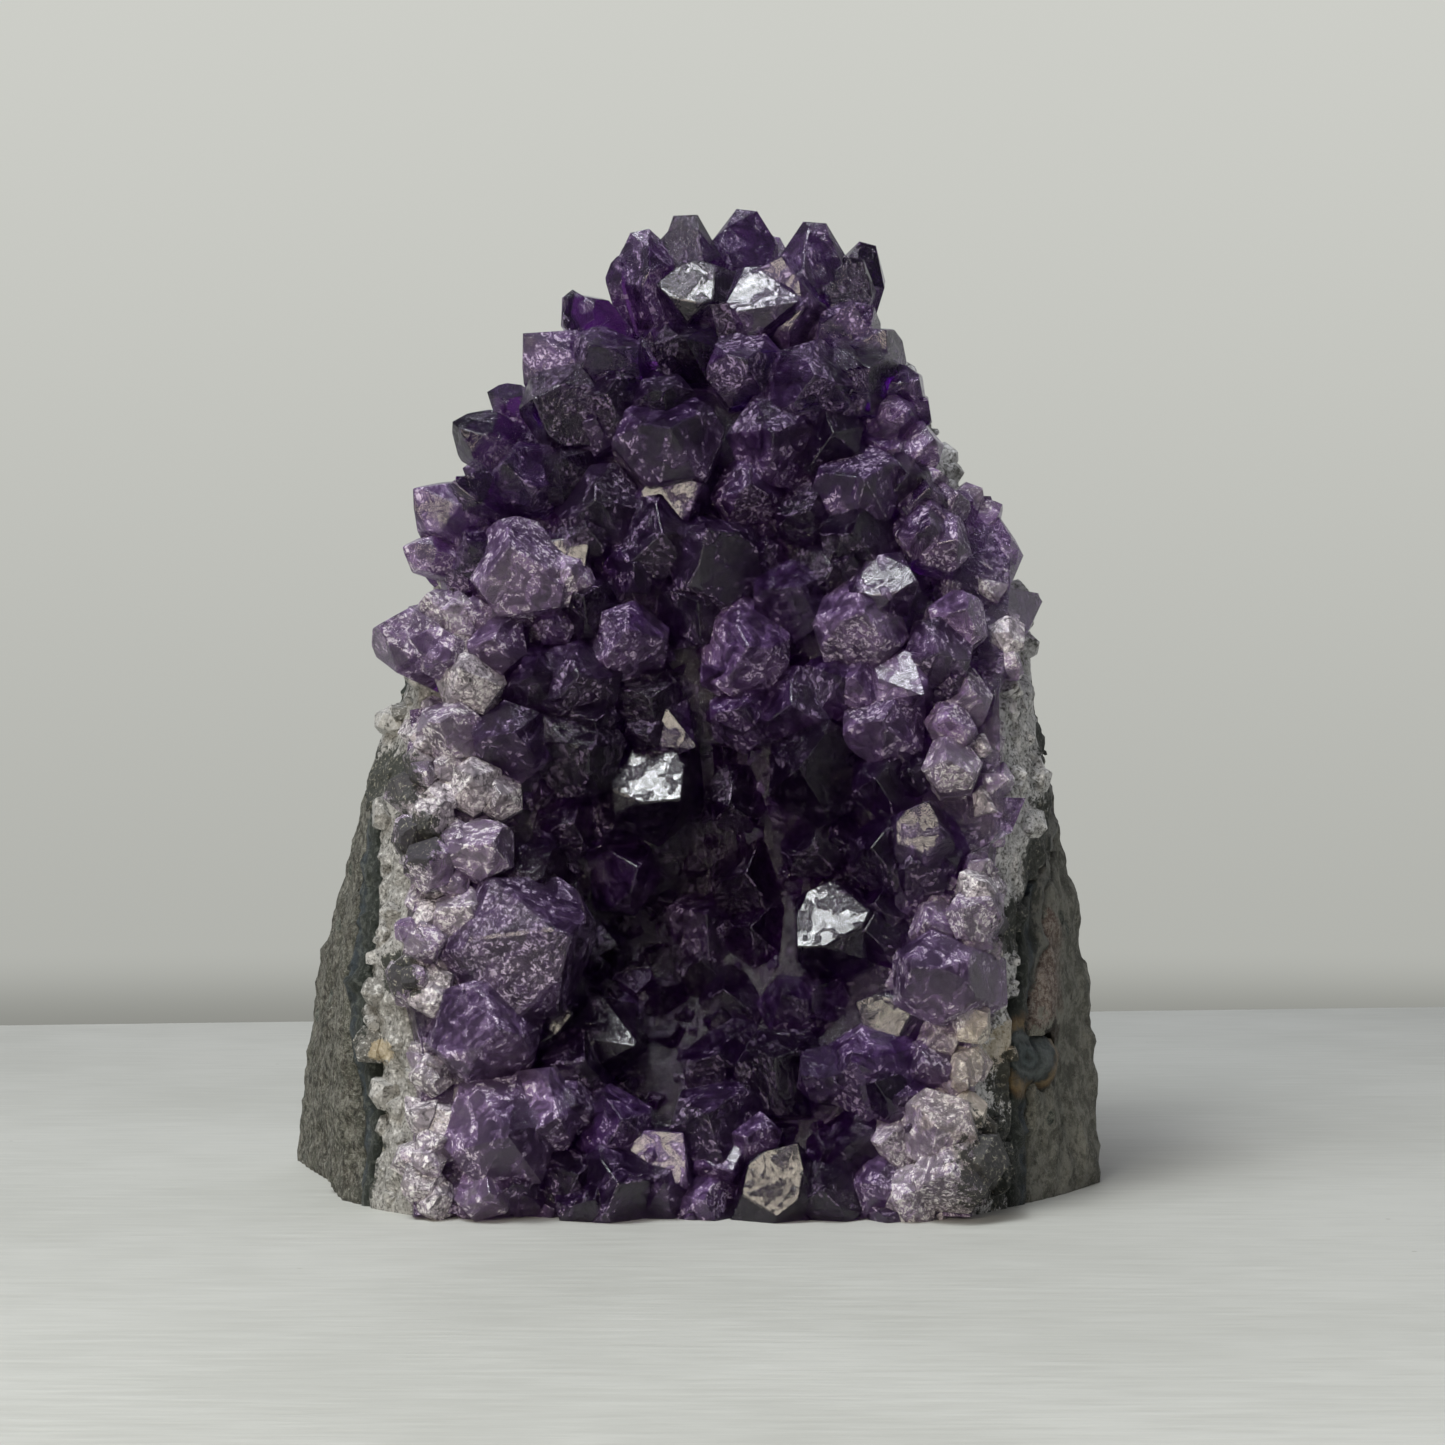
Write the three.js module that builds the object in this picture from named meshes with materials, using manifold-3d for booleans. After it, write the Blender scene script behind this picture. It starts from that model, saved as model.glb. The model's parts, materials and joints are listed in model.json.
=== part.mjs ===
// A cut base amethyst cluster: a wedge broken out of the wall of a basalt geode and sawn flat
// underneath so that it stands. From the back forwards it is basalt, a thin band of agate with green
// celadonite, a layer of white quartz, and the amethyst crystals that grew on it and into each other.
// Millimetres. X runs right, Y back into the stone, Z up from the sawn base.
import * as THREE from "three";
import { mergeVertices } from "three/addons/utils/BufferGeometryUtils.js";
import Module from "manifold-3d";

const wasm = await Module();
wasm.setup();

// Driving dimensions
const AGATE_THICKNESS = 3.2;
const QUARTZ_THICKNESS = 7.4;
const CRUST_THICKNESS = 3;
const QUARTZ_RIPPLE = 1.6;
const AGATE_RIPPLE = 1.2;
const SEAM = 0.3;
const CENTRING = { x: 0.63, y: -0.935 };

// Where the positions of the crystals' tips are judged from, and the plane they are read in (y = 0).
const EYE = { x: 3.3, y: -520, z: 75 };

// Plan outlines of the broken stone at rising heights, each from the open front on the left, round
// the back, to the open front on the right: front, quartz edge, agate edge, flank, back corner,
// three points of the back, back corner, flank, agate edge, quartz edge, front.
const FRONT = -45;
const SECTIONS = [
  { z: 0, plan: [[-24, FRONT], [-30.5, -26], [-43, -12.5], [-47, 4], [-51, 23], [-36, 33], [-4, 37],
    [28, 34], [46, 22], [49.5, 3], [44, -9], [31.5, -26], [24, FRONT]] },
  { z: 25, plan: [[-24, FRONT], [-29.5, -25], [-42, -11.5], [-45, 6], [-48.5, 24], [-35, 35], [-3, 38],
    [28, 35], [45, 23], [49, 5], [43.5, -8], [31, -25], [24, FRONT]] },
  { z: 50, plan: [[-26, FRONT], [-30.5, -20], [-39, -6], [-40, 8], [-41, 23], [-30, 33], [-2, 36],
    [25, 34], [40, 22], [44, 7], [42, -6], [35, -19], [31, FRONT]] },
  { z: 60, plan: [[-30, FRONT], [-33, -15], [-36, -3], [-36.5, 8], [-36, 20], [-26, 30], [-1, 34],
    [23, 32], [37, 21], [42, 8], [41.5, -4], [37, -15], [33, FRONT]] },
  { z: 71, plan: [[-28, FRONT], [-31.5, -12], [-33, -1], [-32, 9], [-29, 18], [-21, 28], [0, 32],
    [20, 30], [33, 20], [41, 9], [40.5, -1], [36.5, -12], [32, FRONT]] },
  { z: 78, plan: [[-26, FRONT], [-29, -11], [-30.5, 1], [-29.5, 10], [-26, 18], [-18, 27], [1, 31],
    [18, 29], [27.5, 20], [35, 10], [36, 0], [34.5, -12], [31, FRONT]] },
  { z: 88, plan: [[-22, FRONT], [-24, -8], [-26, 2], [-24.5, 10], [-21, 18], [-14, 26], [2, 30],
    [16, 28], [23, 20], [29, 10], [31, 1], [30.5, -10], [28, FRONT]] },
  { z: 98, plan: [[-16, FRONT], [-18, -4], [-18.5, 5], [-17, 12], [-13, 19], [-7, 25], [4, 28],
    [14, 26], [19, 20], [24.5, 13], [26, 5], [26, -6], [22, FRONT]] },
  { z: 106, plan: [[-11, FRONT], [-12, 0], [-12, 8], [-10, 14], [-6, 19], [-1, 23], [6, 25],
    [13, 24], [17, 19], [21, 14], [22, 8], [22, -2], [18, FRONT]] },
  { z: 117, plan: [[-5, FRONT], [-6, 4], [-6, 11], [-4, 15], [-1, 19], [2, 21], [7, 22],
    [11, 21], [14, 18], [16, 15], [17, 11], [17, 2], [14, FRONT]] },
];
const SPLITS_ALONG = 2;
const SPLITS_UP = 2;
const STONE_ROUGHNESS = 1.5;
const TOP_FALL = 0.35;
const BELOW_BASE = -4;

// The floor that the crystals grow on: it leans back, dips into a hollow low in the middle, and turns
// over at the crown and round the left side.
const FLOOR = {
  base: -23, lean: 0.18,
  hollow: { x: 1, z: 32, depth: 15, halfWidth: 18, halfHeight: 20 },
  followed: 0.4,
  shoulders: { forward: 4, at: 36, z: 25, halfHeight: 38 },
  crown: { z: 97, curl: 0.1 },
  leftTurn: { x: -32, z: 60, slope: 0.6, curl: 0.16 },
  rightTurn: { x: 34, z: 60, slope: -0.35, curl: 0.1 },
};

// An angle of the quartz termination: how far each pyramid face stands off square to the axis.
const FACE_TILT = THREE.MathUtils.degToRad(51.8);
// How far down the six pyramid faces start, as shares of the crystal's radius, in each habit.
const HABITS = [
  [0.3, 0, 0.3, 0, 0.3, 0],
  [0.45, 0.1, 0.3, 0.05, 0.35, 0.15],
  [0.2, 0.05, 0.5, 0.1, 0.25, 0.1],
  [0.1, 0.1, 0.15, 0.1, 0.1, 0.15],
  [0.6, 0.05, 0.2, 0.1, 0.25, 0],
  [0.35, 0.2, 0.4, -0.05, 0.2, 0.1],
];
const FULLNESS = 1.12;
const ROOT_DEPTH = 5;
const ROOT_TAPER = 0.9;
const CROWN_ROOT = 111.5;

// The crystals that stand out: x and z of the tip as seen from the eye, width across the corners,
// reach above the floor, and the lean of the axis away from square to the floor, right and up.
const CRYSTALS = [
  // crown, pointing up
  [-1.4, 118.2, 10, 13, -0.05, 0.2], [-7, 115.8, 8, 12, -0.3, 0.2], [6.3, 118, 8.5, 11, 0.15, 0.4],
  [15, 117.4, 9.5, 13, 0.1, 0.3], [21, 115.2, 7, 10, 0.35, 0.5], [10.5, 113.8, 11, 13, 0, -0.3],
  [19, 113.2, 8, 10, 0.25, 0], [-4.3, 110.2, 9, 12, -0.25, -0.6], [-1.5, 103.8, 9, 11, -0.1, -0.4],
  [12.5, 108.4, 10, 12, 0.1, -0.6], [3.6, 108, 10, 10, 0, -0.5], [20, 107.6, 9, 9, 0.2, -0.3],
  [21.8, 99.6, 9.5, 9, 0.25, -0.1], [26, 95, 8.5, 7, 0.4, 0], [6.5, 101.5, 9, 10, 0.1, -0.2],
  // upper left edge, pointing left
  [-15.7, 109.2, 6.5, 9, -0.5, 0.3], [-20.8, 103.2, 9, 11, -0.5, 0.3], [-12.5, 103, 9, 11, -0.2, 0],
  [-18.4, 96, 10.5, 12, -0.2, -0.2], [-24.6, 97.2, 5.5, 9, -0.4, 0.2], [-29.4, 93.6, 8, 12, -0.5, 0.2],
  [-11, 97.4, 10, 11, 0, 0.1], [-34.4, 85.3, 9.5, 13, -0.4, 0.2], [-35.5, 78.4, 6, 11, -0.5, -0.1],
  [-22.4, 88.6, 8, 10, -0.2, 0.1], [-29, 86.5, 7.5, 11, -0.2, 0.1],
  // upper middle
  [-3.4, 93.4, 12.5, 14, 0, 0.1], [14.6, 98.6, 12, 12, 0.05, 0], [9.6, 91.6, 10.5, 11, 0, -0.1],
  [20.4, 87.4, 10.5, 11, 0.1, 0.1], [26, 87.2, 8.5, 9, 0.2, 0], [28.6, 85.6, 8, 8, 0.3, 0.2],
  [-16.6, 89, 8.5, 10, -0.1, 0.1], [-12.4, 84.4, 10, 11, -0.1, 0],
  [-22.8, 78.4, 12, 14, -0.15, 0.2], [-5.2, 80.2, 10.5, 11, 0, 0], [2.2, 79.4, 11, 13, 0, 0.35],
  [7, 86, 9, 9, 0.1, 0], [14, 83.2, 8.5, 9, 0, 0], [20, 80.2, 10, 11, 0, 0],
  [28.6, 81.4, 8.5, 9, 0.15, 0.1], [31.2, 79.6, 8.5, 8, 0.3, 0], [-28.2, 78.6, 7, 9, -0.2, 0.1],
  // middle
  [-38.4, 68.5, 9.5, 12, -0.6, 0.1], [-30.8, 70.5, 7, 9, -0.3, 0], [-24.7, 67.1, 8.5, 10, -0.1, 0],
  [-19.9, 62.8, 9.5, 10, -0.1, 0], [-13.7, 72.4, 9, 10, 0, 0.1], [-7.9, 67.1, 9.5, 10, 0, 0],
  [-0.6, 71, 9, 9, 0, 0], [6, 66.3, 11, 11, 0, 0], [12.1, 72.4, 9, 10, 0.1, 0],
  [17, 76, 9, 9, 0, 0], [19.9, 69.8, 11.5, 13, 0, 0], [26.7, 74.6, 10.5, 12, 0.1, 0.3],
  [32.8, 70.4, 8.5, 9, 0.2, 0.1], [30.1, 65.9, 10, 11, 0.1, -0.1],
  [-28.8, 63.6, 10, 10, -0.25, 0.1], [-31.1, 56.6, 9.5, 9, -0.3, 0], [-14.3, 62.2, 10, 11, 0, 0],
  [-13.8, 53.3, 11.5, 12, 0, -0.1], [-22.5, 54.6, 9, 10, -0.1, -0.1], [-5.5, 59.9, 7.5, 9, 0, 0],
  [-0.1, 53.9, 8.5, 9, 0, 0], [11.7, 59.1, 9.5, 10, 0, 0], [17.8, 62.2, 9, 10, 0, 0],
  [14.3, 51, 12, 12, 0, 0], [23, 57.7, 10, 11, 0.05, 0], [27.8, 60.4, 9.5, 11, 0.1, 0.1],
  [33.5, 60.6, 8.5, 8, 0.2, 0], [31.4, 52.5, 8, 9, 0.1, 0.1], [5.6, 57.7, 8.5, 9, 0, 0],
  [22.9, 50, 8.5, 9, 0, 0],
  [0.2, 85.9, 9, 9, 0, 0], [15.8, 92.2, 9, 9, 0, 0], [-13, 78.6, 8.5, 8, 0, 0],
  // right edge
  [23.6, 104, 8, 7, 0.2, 0], [27, 98.4, 7.5, 6, 0.1, 0], [28.4, 91.4, 7.5, 5.5, 0.1, 0],
  [32, 85, 7.5, 5.5, 0.1, 0.1], [35, 77, 8, 6, 0, 0], [36.8, 68, 8, 6, 0, 0],
  [37.2, 61.8, 8, 6, 0, 0], [37.2, 56, 8, 6, 0, 0],
  // round the hollow
  [6.6, 32.4, 9, 8, 0, 0.1], [1, 27.6, 9, 8, 0, 0.1], [-13, 15.4, 9, 9, 0.1, 0],
  [-1.9, 48.3, 13.5, 15, 0, 0.35], [-9, 44.7, 8, 8, 0, 0], [-14.9, 44.5, 8.5, 8, 0, 0],
  [-8, 38.6, 9.5, 9, 0, 0.1], [6.1, 38.4, 11, 10, 0.1, 0.1], [13.7, 42, 9, 9, 0, 0],
  [22, 41.1, 9, 10, -0.1, 0], [0.3, 32.4, 10, 9, 0, 0.2], [-9.3, 29.5, 8.5, 8, 0.1, 0],
  [13, 29.7, 11.5, 12, 0, 0.2], [4.4, 24.1, 8, 8, 0, 0.1], [10.9, 23.5, 9, 10, 0, 0.1],
  [-3.7, 23.7, 7, 6, 0, 0], [20.7, 31.4, 9, 8, -0.1, 0], [20.6, 22.2, 7.5, 7, -0.1, 0],
  // left shoulder
  [-25.5, 42.4, 10, 11, 0.05, 0.1], [-27.2, 50, 8.5, 9, -0.1, 0], [-18.1, 37.7, 9, 9, 0.1, 0],
  [-15.4, 29.7, 17, 17, 0.35, -0.05], [-28.2, 33.4, 9, 9, -0.1, 0.1], [-32.3, 25.3, 7.5, 7, -0.1, 0],
  [-23.6, 19.3, 13, 13, 0.1, -0.05], [-32.8, 19.9, 6.5, 7, -0.1, 0], [-30.9, 14.1, 8.5, 8, -0.1, 0],
  [-22.9, 6.4, 13, 14, 0, -0.05], [-31.6, 8.5, 8, 8, -0.1, 0], [-30.9, 0.2, 8, 8, -0.1, -0.1],
  [-18.2, 9.1, 10.5, 11, 0.1, -0.1], [-16.1, 21, 8, 7, 0.2, 0],
  // foot, in the middle
  [-7.4, 17.4, 11, 11, 0, 0], [2.8, 16.6, 9.5, 10, 0, 0], [10.1, 15.2, 11, 12, 0.05, 0],
  [-9.9, 7.9, 9.5, 10, 0, 0], [2.8, 8.1, 11.5, 12, 0, -0.05], [-14.7, 1.9, 7.5, 8, 0, 0],
  [-22.4, 0.2, 7, 8, 0, 0], [-9.5, 0.2, 11, 12, 0, -0.05], [-3.9, 0.6, 8.5, 10, 0.05, 0],
  [-2.6, 5.4, 8, 9, 0, 0.1], [4.7, 2.3, 8.5, 9, 0, 0], [11.9, 4.1, 9, 10, 0, 0.1],
  [11.3, -0.8, 9, 9, 0, -0.05], [18.6, 4.8, 8.5, 9, 0, 0], [22.1, 0, 8, 9, 0, 0],
  [-25.5, -0.6, 8.5, 9, 0, 0], [-13, -1.4, 8, 9, 0, 0], [8.4, -1.6, 8, 9, 0, 0],
  [15.6, -1.6, 8.5, 9, 0, 0], [25.6, -1.4, 8.5, 9, 0, 0], [1.6, -1.8, 7.5, 8, 0, 0],
  // right shoulder
  [35.4, 51.4, 8, 7, 0.15, 0], [35.3, 45.1, 10.5, 10, 0.1, 0.1], [28.5, 47.3, 9.5, 10, 0, 0.1],
  [35.3, 38.6, 10, 9, 0.1, 0], [26.8, 39.9, 9, 9, 0, 0], [28.1, 32.4, 8, 8, -0.1, 0.1],
  [26.5, 26.2, 13, 14, -0.25, 0], [33.1, 29.9, 9.5, 9, 0, 0.1], [19.2, 15.2, 11, 12, -0.15, 0.05],
  [24.4, 10.6, 9, 9, -0.05, 0], [27.9, 15.2, 7.5, 8, 0, 0], [32.3, 12.7, 7, 7, 0.05, 0],
  [29, 6.8, 10.5, 10, 0, -0.05], [31.2, 0.6, 11, 10, 0.05, -0.1], [35.2, 20.6, 8, 7, 0.05, 0],
];

// The smaller crystals that fill the gaps between them.
const FILL = {
  left: -36, right: 38, top: 112, pitch: 9.4, jitter: 6, beyond: 1, steepest: 1.6,
  width: [5, 8], reach: [5, 8], lean: 0.4, clear: 0.3,
};

// Rows of crystals that carry on round the turned left side, too steep for the fill.
const WRAP = {
  bottom: 72, top: 110, pitch: 7.5, spacing: 6.5, depth: 12, width: [6, 9], reach: [4, 6.5], lean: 0.25,
};

// A row of crystals behind the crown, pointing up and back.
const CROWN_BACK = { left: -4, right: 16, z: 111.8, spacing: 6.4, width: 8.5, reach: 5, back: 0.3 };

// The banded agate knob in the broken right side, low down.
const KNOB = { x: 38.8, y: -9.3, z: 16.5, radii: [5, 5, 4] };

// Repeatable numbers from 0 to 1, by a linear congruential generator.
function makeDice(seed) {
  let state = seed >>> 0;
  return () => {
    state = (Math.imul(state, 1664525) + 1013904223) >>> 0;
    return state / 4294967296;
  };
}

const bump = (t) => Math.exp(-t * t);
const beyond = (t) => Math.max(0, t);

// How far the hollow sets the floor back.
function dipAt(x, z) {
  const { hollow } = FLOOR;
  return hollow.depth * bump((x - hollow.x) / hollow.halfWidth) * bump((z - hollow.z) / hollow.halfHeight);
}

// The crystals' floor, as y over x and z.
function floorAt(x, z) {
  const { base, lean, shoulders, crown, leftTurn, rightTurn } = FLOOR;
  const near = bump((z - shoulders.z) / shoulders.halfHeight);
  const sides = shoulders.forward * (x / shoulders.at) ** 2 * near;
  const over = crown.curl * beyond(z - crown.z) ** 2;
  const left = leftTurn.curl * beyond(leftTurn.x + leftTurn.slope * (z - leftTurn.z) - x) ** 2;
  const right = rightTurn.curl * beyond(x - rightTurn.x - rightTurn.slope * (z - rightTurn.z)) ** 2;
  return base + lean * z + dipAt(x, z) - sides + over + left + right;
}

// How steeply the floor falls away from facing front, as the slopes along x and z.
function slopesAt(x, z) {
  const step = 0.5;
  return [
    (floorAt(x + step, z) - floorAt(x - step, z)) / (2 * step),
    (floorAt(x, z + step) - floorAt(x, z - step)) / (2 * step),
  ];
}

// The floor moved back by a thickness measured square to it, and rippled by a share of it.
function floorBehind(thickness, ripple = 0) {
  return (x, z) => {
    const [slopeX, slopeZ] = slopesAt(x, z);
    const wave = ripple * roughness(x / 13, thickness > QUARTZ_THICKNESS + 1 ? 4 : 1, z / 13);
    return floorAt(x, z) + (thickness + wave) * Math.min(3, Math.hypot(1, slopeX, slopeZ));
  };
}

// Smooth random values over space, from -1 to 1, for the broken stone.
function roughness(x, y, z) {
  const lattice = (i, j, k) => {
    let h = Math.imul(i, 374761393) ^ Math.imul(j, 668265263) ^ Math.imul(k, 2147483647 - 1274126177);
    h = Math.imul(h ^ (h >>> 13), 1274126177);
    return ((h ^ (h >>> 16)) >>> 0) / 2147483648 - 1;
  };
  const corner = [x, y, z].map(Math.floor);
  const share = [x, y, z].map((v, i) => v - corner[i]);
  let sum = 0;
  for (let n = 0; n < 8; n++) {
    const step = [n & 1, (n >> 1) & 1, (n >> 2) & 1];
    const weight = step.reduce((w, s, i) => w * (s ? share[i] : 1 - share[i]), 1);
    sum += weight * lattice(corner[0] + step[0], corner[1] + step[1], corner[2] + step[2]);
  }
  return sum;
}

// A closed three.js geometry as a solid that can be cut and joined.
function solidOf(geometry) {
  const bare = geometry.clone();
  bare.deleteAttribute("normal");
  bare.deleteAttribute("uv");
  const merged = mergeVertices(bare, 1e-4);
  return new wasm.Manifold(new wasm.Mesh({
    numProp: 3,
    vertProperties: new Float32Array(merged.attributes.position.array),
    triVerts: new Uint32Array(merged.index.array),
  }));
}

function solidFrom(points, triangles) {
  const geometry = new THREE.BufferGeometry();
  geometry.setAttribute("position", new THREE.Float32BufferAttribute(points.flat(), 3));
  geometry.setIndex(triangles.flat());
  return solidOf(geometry);
}

function geometryOf(solid) {
  const mesh = solid.getMesh();
  const geometry = new THREE.BufferGeometry();
  geometry.setAttribute("position", new THREE.Float32BufferAttribute(mesh.vertProperties, 3));
  geometry.setIndex(new THREE.BufferAttribute(mesh.triVerts, 1));
  geometry.computeVertexNormals();
  return geometry;
}

// The largest piece of a solid that a cut has left in several.
function largest(solid) {
  return solid.decompose().reduce((a, b) => (a.volume() > b.volume() ? a : b));
}

// The stone's plan outline at one height, between two of the sections, split finer along each side.
function planAt(z) {
  let n = SECTIONS.findIndex((section) => section.z >= z);
  n = Math.max(1, n);
  const [low, high] = [SECTIONS[n - 1], SECTIONS[n]];
  const share = THREE.MathUtils.clamp((z - low.z) / (high.z - low.z), 0, 1);
  const corners = low.plan.map(([x, y], i) => [
    THREE.MathUtils.lerp(x, high.plan[i][0], share),
    THREE.MathUtils.lerp(y, high.plan[i][1], share),
  ]);
  const points = [];
  corners.forEach(([x, y], i) => {
    const last = i === corners.length - 1;
    const [nextX, nextY] = corners[(i + 1) % corners.length];
    const splits = last ? 1 : SPLITS_ALONG;
    for (let s = 0; s < splits; s++) {
      points.push([THREE.MathUtils.lerp(x, nextX, s / splits), THREE.MathUtils.lerp(y, nextY, s / splits)]);
    }
  });
  return points;
}

// The whole block of stone as it broke out, with an open-ended front that the floor will cut.
function makeStone() {
  const heights = [BELOW_BASE];
  SECTIONS.forEach((section, i) => {
    const next = SECTIONS[i + 1];
    if (!next) {
      heights.push(section.z);
      return;
    }
    for (let s = 0; s < SPLITS_UP; s++) {
      heights.push(THREE.MathUtils.lerp(section.z, next.z, s / SPLITS_UP));
    }
  });
  const rings = heights.map((z) => planAt(Math.max(0, z)).map(([x, y]) => {
    const outward = new THREE.Vector2(x, y - 5).normalize();
    const coarse = roughness(x / 17 + 3, y / 17, z / 15);
    const fine = roughness(x / 6, y / 6 + 7, z / 5);
    const push = y <= FRONT ? 0 : STONE_ROUGHNESS * (0.9 * coarse + 0.75 * fine);
    const fall = z === heights.at(-1) ? TOP_FALL * Math.max(0, y - 4) : 0;
    return [x + outward.x * push, y + outward.y * push, z - fall];
  }));
  const around = rings[0].length;
  const points = rings.flat();
  const triangles = [];
  for (let ring = 0; ring + 1 < rings.length; ring++) {
    for (let i = 0; i < around; i++) {
      const a = ring * around + i;
      const b = ring * around + ((i + 1) % around);
      triangles.push([a, a + around, b], [b, a + around, b + around]);
    }
  }
  for (const [ring, facesUp] of [[0, false], [rings.length - 1, true]]) {
    const flat = rings[ring].map(([x, y]) => new THREE.Vector2(x, y));
    for (const [a, b, c] of THREE.ShapeUtils.triangulateShape(flat, [])) {
      const start = ring * around;
      const turned = THREE.ShapeUtils.area([flat[a], flat[b], flat[c]]) > 0;
      const [second, third] = turned === facesUp ? [b, c] : [c, b];
      triangles.push([start + a, start + second, start + third]);
    }
  }
  return solidFrom(points, triangles);
}

// Everything between two sheets that each give y over x and z.
function between(front, back) {
  const [left, right, bottom, top, cell] = [-60, 60, -12, 132, 12];
  const columns = Math.round((right - left) / cell);
  const rows = Math.round((top - bottom) / cell);
  const points = [];
  for (const sheet of [front, back]) {
    for (let j = 0; j <= rows; j++) {
      for (let i = 0; i <= columns; i++) {
        const [x, z] = [left + i * cell, bottom + j * cell];
        points.push([x, sheet(x, z), z]);
      }
    }
  }
  const wide = columns + 1;
  const behind = wide * (rows + 1);
  const triangles = [];
  const quad = (a, b, c, d) => triangles.push([a, b, c], [a, c, d]);
  for (let j = 0; j < rows; j++) {
    for (let i = 0; i < columns; i++) {
      const a = j * wide + i;
      quad(a, a + 1, a + 1 + wide, a + wide);
      quad(behind + a, behind + a + wide, behind + a + 1 + wide, behind + a + 1);
    }
  }
  for (let i = 0; i < columns; i++) {
    const high = rows * wide + i;
    quad(i, behind + i, behind + i + 1, i + 1);
    quad(high + 1, behind + high + 1, behind + high, high);
  }
  for (let j = 0; j < rows; j++) {
    const a = j * wide;
    const b = a + columns;
    quad(a + wide, behind + a + wide, behind + a, a);
    quad(b, behind + b, behind + b + wide, b + wide);
  }
  return solidFrom(points, triangles);
}

// One crystal about its own axis, with its tip at the origin and its root below: a six-sided prism
// whose end is cut by the six faces of a quartz pyramid.
function makeCrystal(radius, length, habit) {
  const prism = new THREE.CylinderGeometry(radius, radius * ROOT_TAPER, length + radius, 6);
  prism.rotateX(Math.PI / 2);
  prism.translate(0, 0, (radius - length) / 2);
  let solid = solidOf(prism);
  const lowest = Math.max(...HABITS[habit]);
  HABITS[habit].forEach((share, face) => {
    const drop = share - lowest;
    // the prism has a side facing 0 degrees and one every 60 from there, and each has its face above it
    const angle = THREE.MathUtils.degToRad(60 * face);
    const [across, up] = [Math.sin(FACE_TILT), Math.cos(FACE_TILT)];
    const inward = [-across * Math.cos(angle), -across * Math.sin(angle), -up];
    solid = solid.trimByPlane(inward, up * drop * radius);
  });
  return solid;
}

// The axis of a crystal that grows from the floor at x and z, leaned by shares right and up. In the
// hollow the crystals crowd each other and follow its walls only in part.
function axisAt(x, z, leanX, leanZ) {
  const { hollow, followed } = FLOOR;
  const [slopeX, slopeZ] = slopesAt(x, z);
  const ignored = 2 * (1 - followed) * dipAt(x, z);
  const spareX = ignored * (x - hollow.x) / hollow.halfWidth ** 2;
  const spareZ = ignored * (z - hollow.z) / hollow.halfHeight ** 2;
  const square = new THREE.Vector3(slopeX + spareX, -1, slopeZ + spareZ).normalize();
  return square.add(new THREE.Vector3(leanX, 0, leanZ)).normalize();
}

// Finds where a crystal of a given reach has to grow for its tip to show at x and z from the eye.
function placeByTip(tipX, tipZ, reach, leanX, leanZ) {
  const root = new THREE.Vector3(tipX, 0, Math.min(tipZ, CROWN_ROOT));
  let axis = new THREE.Vector3();
  for (let pass = 0; pass < 60; pass++) {
    root.y = floorAt(root.x, root.z);
    axis = axisAt(root.x, root.z, leanX, leanZ);
    const tip = root.clone().addScaledVector(axis, reach);
    const nearer = (tip.y - EYE.y) / -EYE.y;
    root.x += 0.25 * (EYE.x + (tipX - EYE.x) * nearer - tip.x);
    root.z += 0.25 * (EYE.z + (tipZ - EYE.z) * nearer - tip.z);
    root.z = Math.min(root.z, CROWN_ROOT);
  }
  root.y = floorAt(root.x, root.z);
  return { root, axis };
}

// A crystal set on its axis with its tip at reach above the root, turned about the axis by twist.
function setCrystal(root, axis, width, reach, habit, twist) {
  const solid = makeCrystal(width / 2, reach + ROOT_DEPTH, habit);
  const tip = root.clone().addScaledVector(axis, reach);
  const turn = new THREE.Matrix4().makeRotationFromQuaternion(
    new THREE.Quaternion().setFromUnitVectors(new THREE.Vector3(0, 0, 1), axis));
  turn.multiply(new THREE.Matrix4().makeRotationZ(twist));
  turn.setPosition(tip);
  return solid.transform(turn.toArray());
}

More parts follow.
